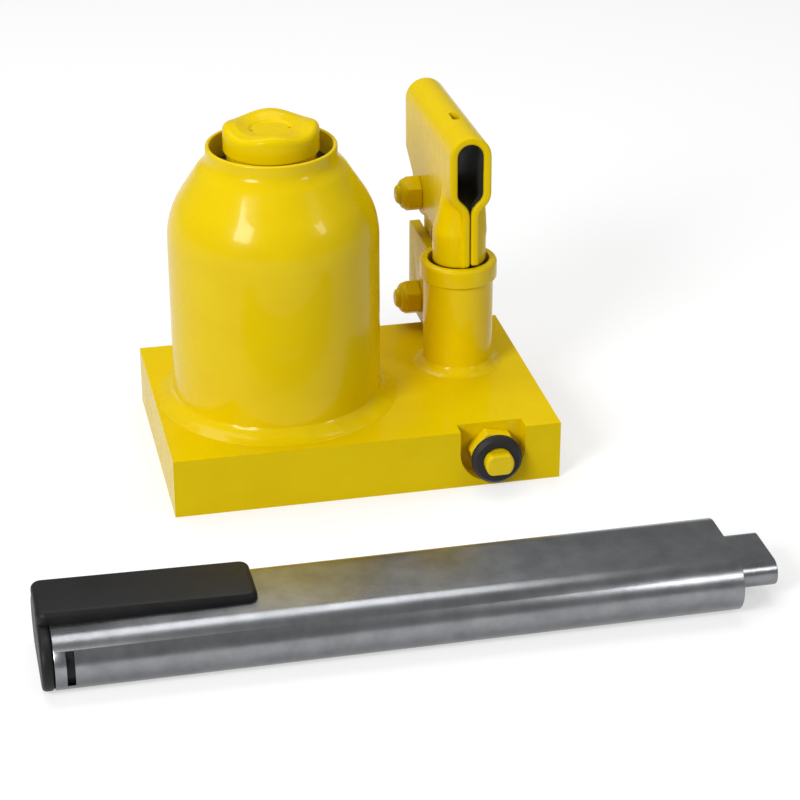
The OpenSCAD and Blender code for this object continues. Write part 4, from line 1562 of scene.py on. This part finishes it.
@dataclass
class InnerParts:
    """Everything of the CAD model that keeps its shape: seals, balls, springs, ram and glands."""

    palette: Palette

    def dress(self, frame: dict) -> None:
        """Give every CAD node the finish of its slot.
        """
        by_node = {row["node"]: Slot(row["material_slot"]) for row in frame["record"]["subparts"]}
        for name, piece in frame["nodes"].items():
            piece.data.materials.clear()
            piece.data.materials.append(self.palette.for_slot(by_node[name]))
            LOG.info("%s keeps its CAD shape: %s", name, by_node[name].value)


# ---------------------------------------------------------------- the studio


@dataclass
class Studio:
    """White paper on the floor, soft boxes and the camera, with places in metres."""

    camera_at: tuple[float, float, float] = (-0.17025, -1.04784, 0.55811)
    looks_at: tuple[float, float, float] = (0.04712, -0.06328, 0.05)
    lamps_aim: tuple[float, float, float] = (0.03, -0.05, 0.06)
    lens: float = 109.575
    sensor: float = 36.0
    clip: Point = (0.05, 20.0)
    floor_size: float = 12.0
    sky: float = 0.25
    paper: str = "#bcbcbc"
    floor_lift: float = 0.56

    def hang(self, name: str, data: bpy.types.ID, at: Sequence[float],
             aim: Sequence[float]) -> Solid:
        """Hang the camera or a lamp so that it faces a point.

        Args:
            name: Its name.
            data: The camera's or the lamp's data.
            at: Its place.
            aim: The point it faces.

        Returns:
            Its object.
        """
        made = bpy.data.objects.new(name, data)
        bpy.context.scene.collection.objects.link(made)
        made.location = at
        made.rotation_mode = "QUATERNION"
        made.rotation_quaternion = (Vector(aim) - made.location).to_track_quat("-Z", "Y")
        return made

    def camera(self) -> None:
        """Set the camera at the jack's three-quarter view."""
        data = bpy.data.cameras.new("camera")
        data.lens = self.lens
        data.sensor_width = self.sensor
        data.clip_start, data.clip_end = self.clip
        bpy.context.scene.camera = self.hang("camera", data, self.camera_at, self.looks_at)

    def floor(self) -> None:
        """Lay a floor that reads white to the eye and in reflections, and keeps shadows."""
        bpy.ops.object.select_all(action="DESELECT")
        bpy.ops.mesh.primitive_plane_add(size=self.floor_size)
        floor = settle("floor")
        paper = bpy.data.materials.new("white_paper")
        paper.use_nodes = True
        tree = paper.node_tree
        tree.nodes.clear()
        path = add_node(tree, "ShaderNodeLightPath")
        seen = path.outputs["Is Camera Ray"]
        for ray in ("Is Glossy Ray", "Is Transmission Ray"):
            seen = add_node(tree, "ShaderNodeMath", {0: seen, 1: path.outputs[ray]},
                            operation="MAXIMUM")
        lift = add_node(tree, "ShaderNodeMath", {0: seen, 1: self.floor_lift},
                        operation="MULTIPLY")
        glow = add_node(tree, "ShaderNodeEmission", {"Color": (1, 1, 1, 1), "Strength": lift})
        matt = add_node(tree, "ShaderNodeBsdfDiffuse", {"Color": linear(self.paper)})
        both = add_node(tree, "ShaderNodeAddShader", {0: matt, 1: glow})
        add_node(tree, "ShaderNodeOutputMaterial", {"Surface": both})
        floor.data.materials.append(paper)

    def soft_box(self, name: str, at: Sequence[float], size: Point, watts: float) -> None:
        """Hang a soft box.

        Args:
            name: The lamp's name.
            at: Its place.
            size: Its width and height.
            watts: Its power.
        """
        data = bpy.data.lights.new(name, "AREA")
        data.shape = "RECTANGLE"
        data.size, data.size_y = size
        data.energy = watts
        self.hang(name, data, at, self.lamps_aim)

    def room(self) -> None:
        """Fill the room with plain grey light."""
        world = bpy.data.worlds.new("room")
        bpy.context.scene.world = world
        world.use_nodes = True
        tree = world.node_tree
        tree.nodes.clear()
        sky = add_node(tree, "ShaderNodeBackground", {
            "Color": (1, 1, 1, 1), "Strength": self.sky,
        })
        add_node(tree, "ShaderNodeOutputWorld", {"Surface": sky})

    def set_up(self) -> None:
        """Build the whole studio."""
        self.camera()
        self.floor()
        self.room()
        self.soft_box("overhead", (-0.05, 0.45, 1.25), (1.3, 0.8), 8.5)
        self.soft_box("left_front", (-1.06, -1.04, 0.96), (0.54, 0.62), 20)
        self.soft_box("right_front", (0.92, -0.78, 0.74), (0.22, 0.3), 2.3)
        bpy.context.scene.view_settings.view_transform = "Standard"


def main() -> None:
    """Build the jack round the CAD frame, dress it and set up the studio."""
    logging.basicConfig(level=logging.INFO, format="%(name)s %(message)s")
    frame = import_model()
    palette = Palette()
    Studio().set_up()
    for part in (BasePlate(palette), Reservoir(palette), Saddle(palette), PumpTube(palette),
                 LeverSocket(palette), Linkage(palette), ReleaseValve(palette),
                 PumpHandle(palette)):
        part.build()
    InnerParts(palette).dress(frame)


if __name__ == "__main__":
    main()
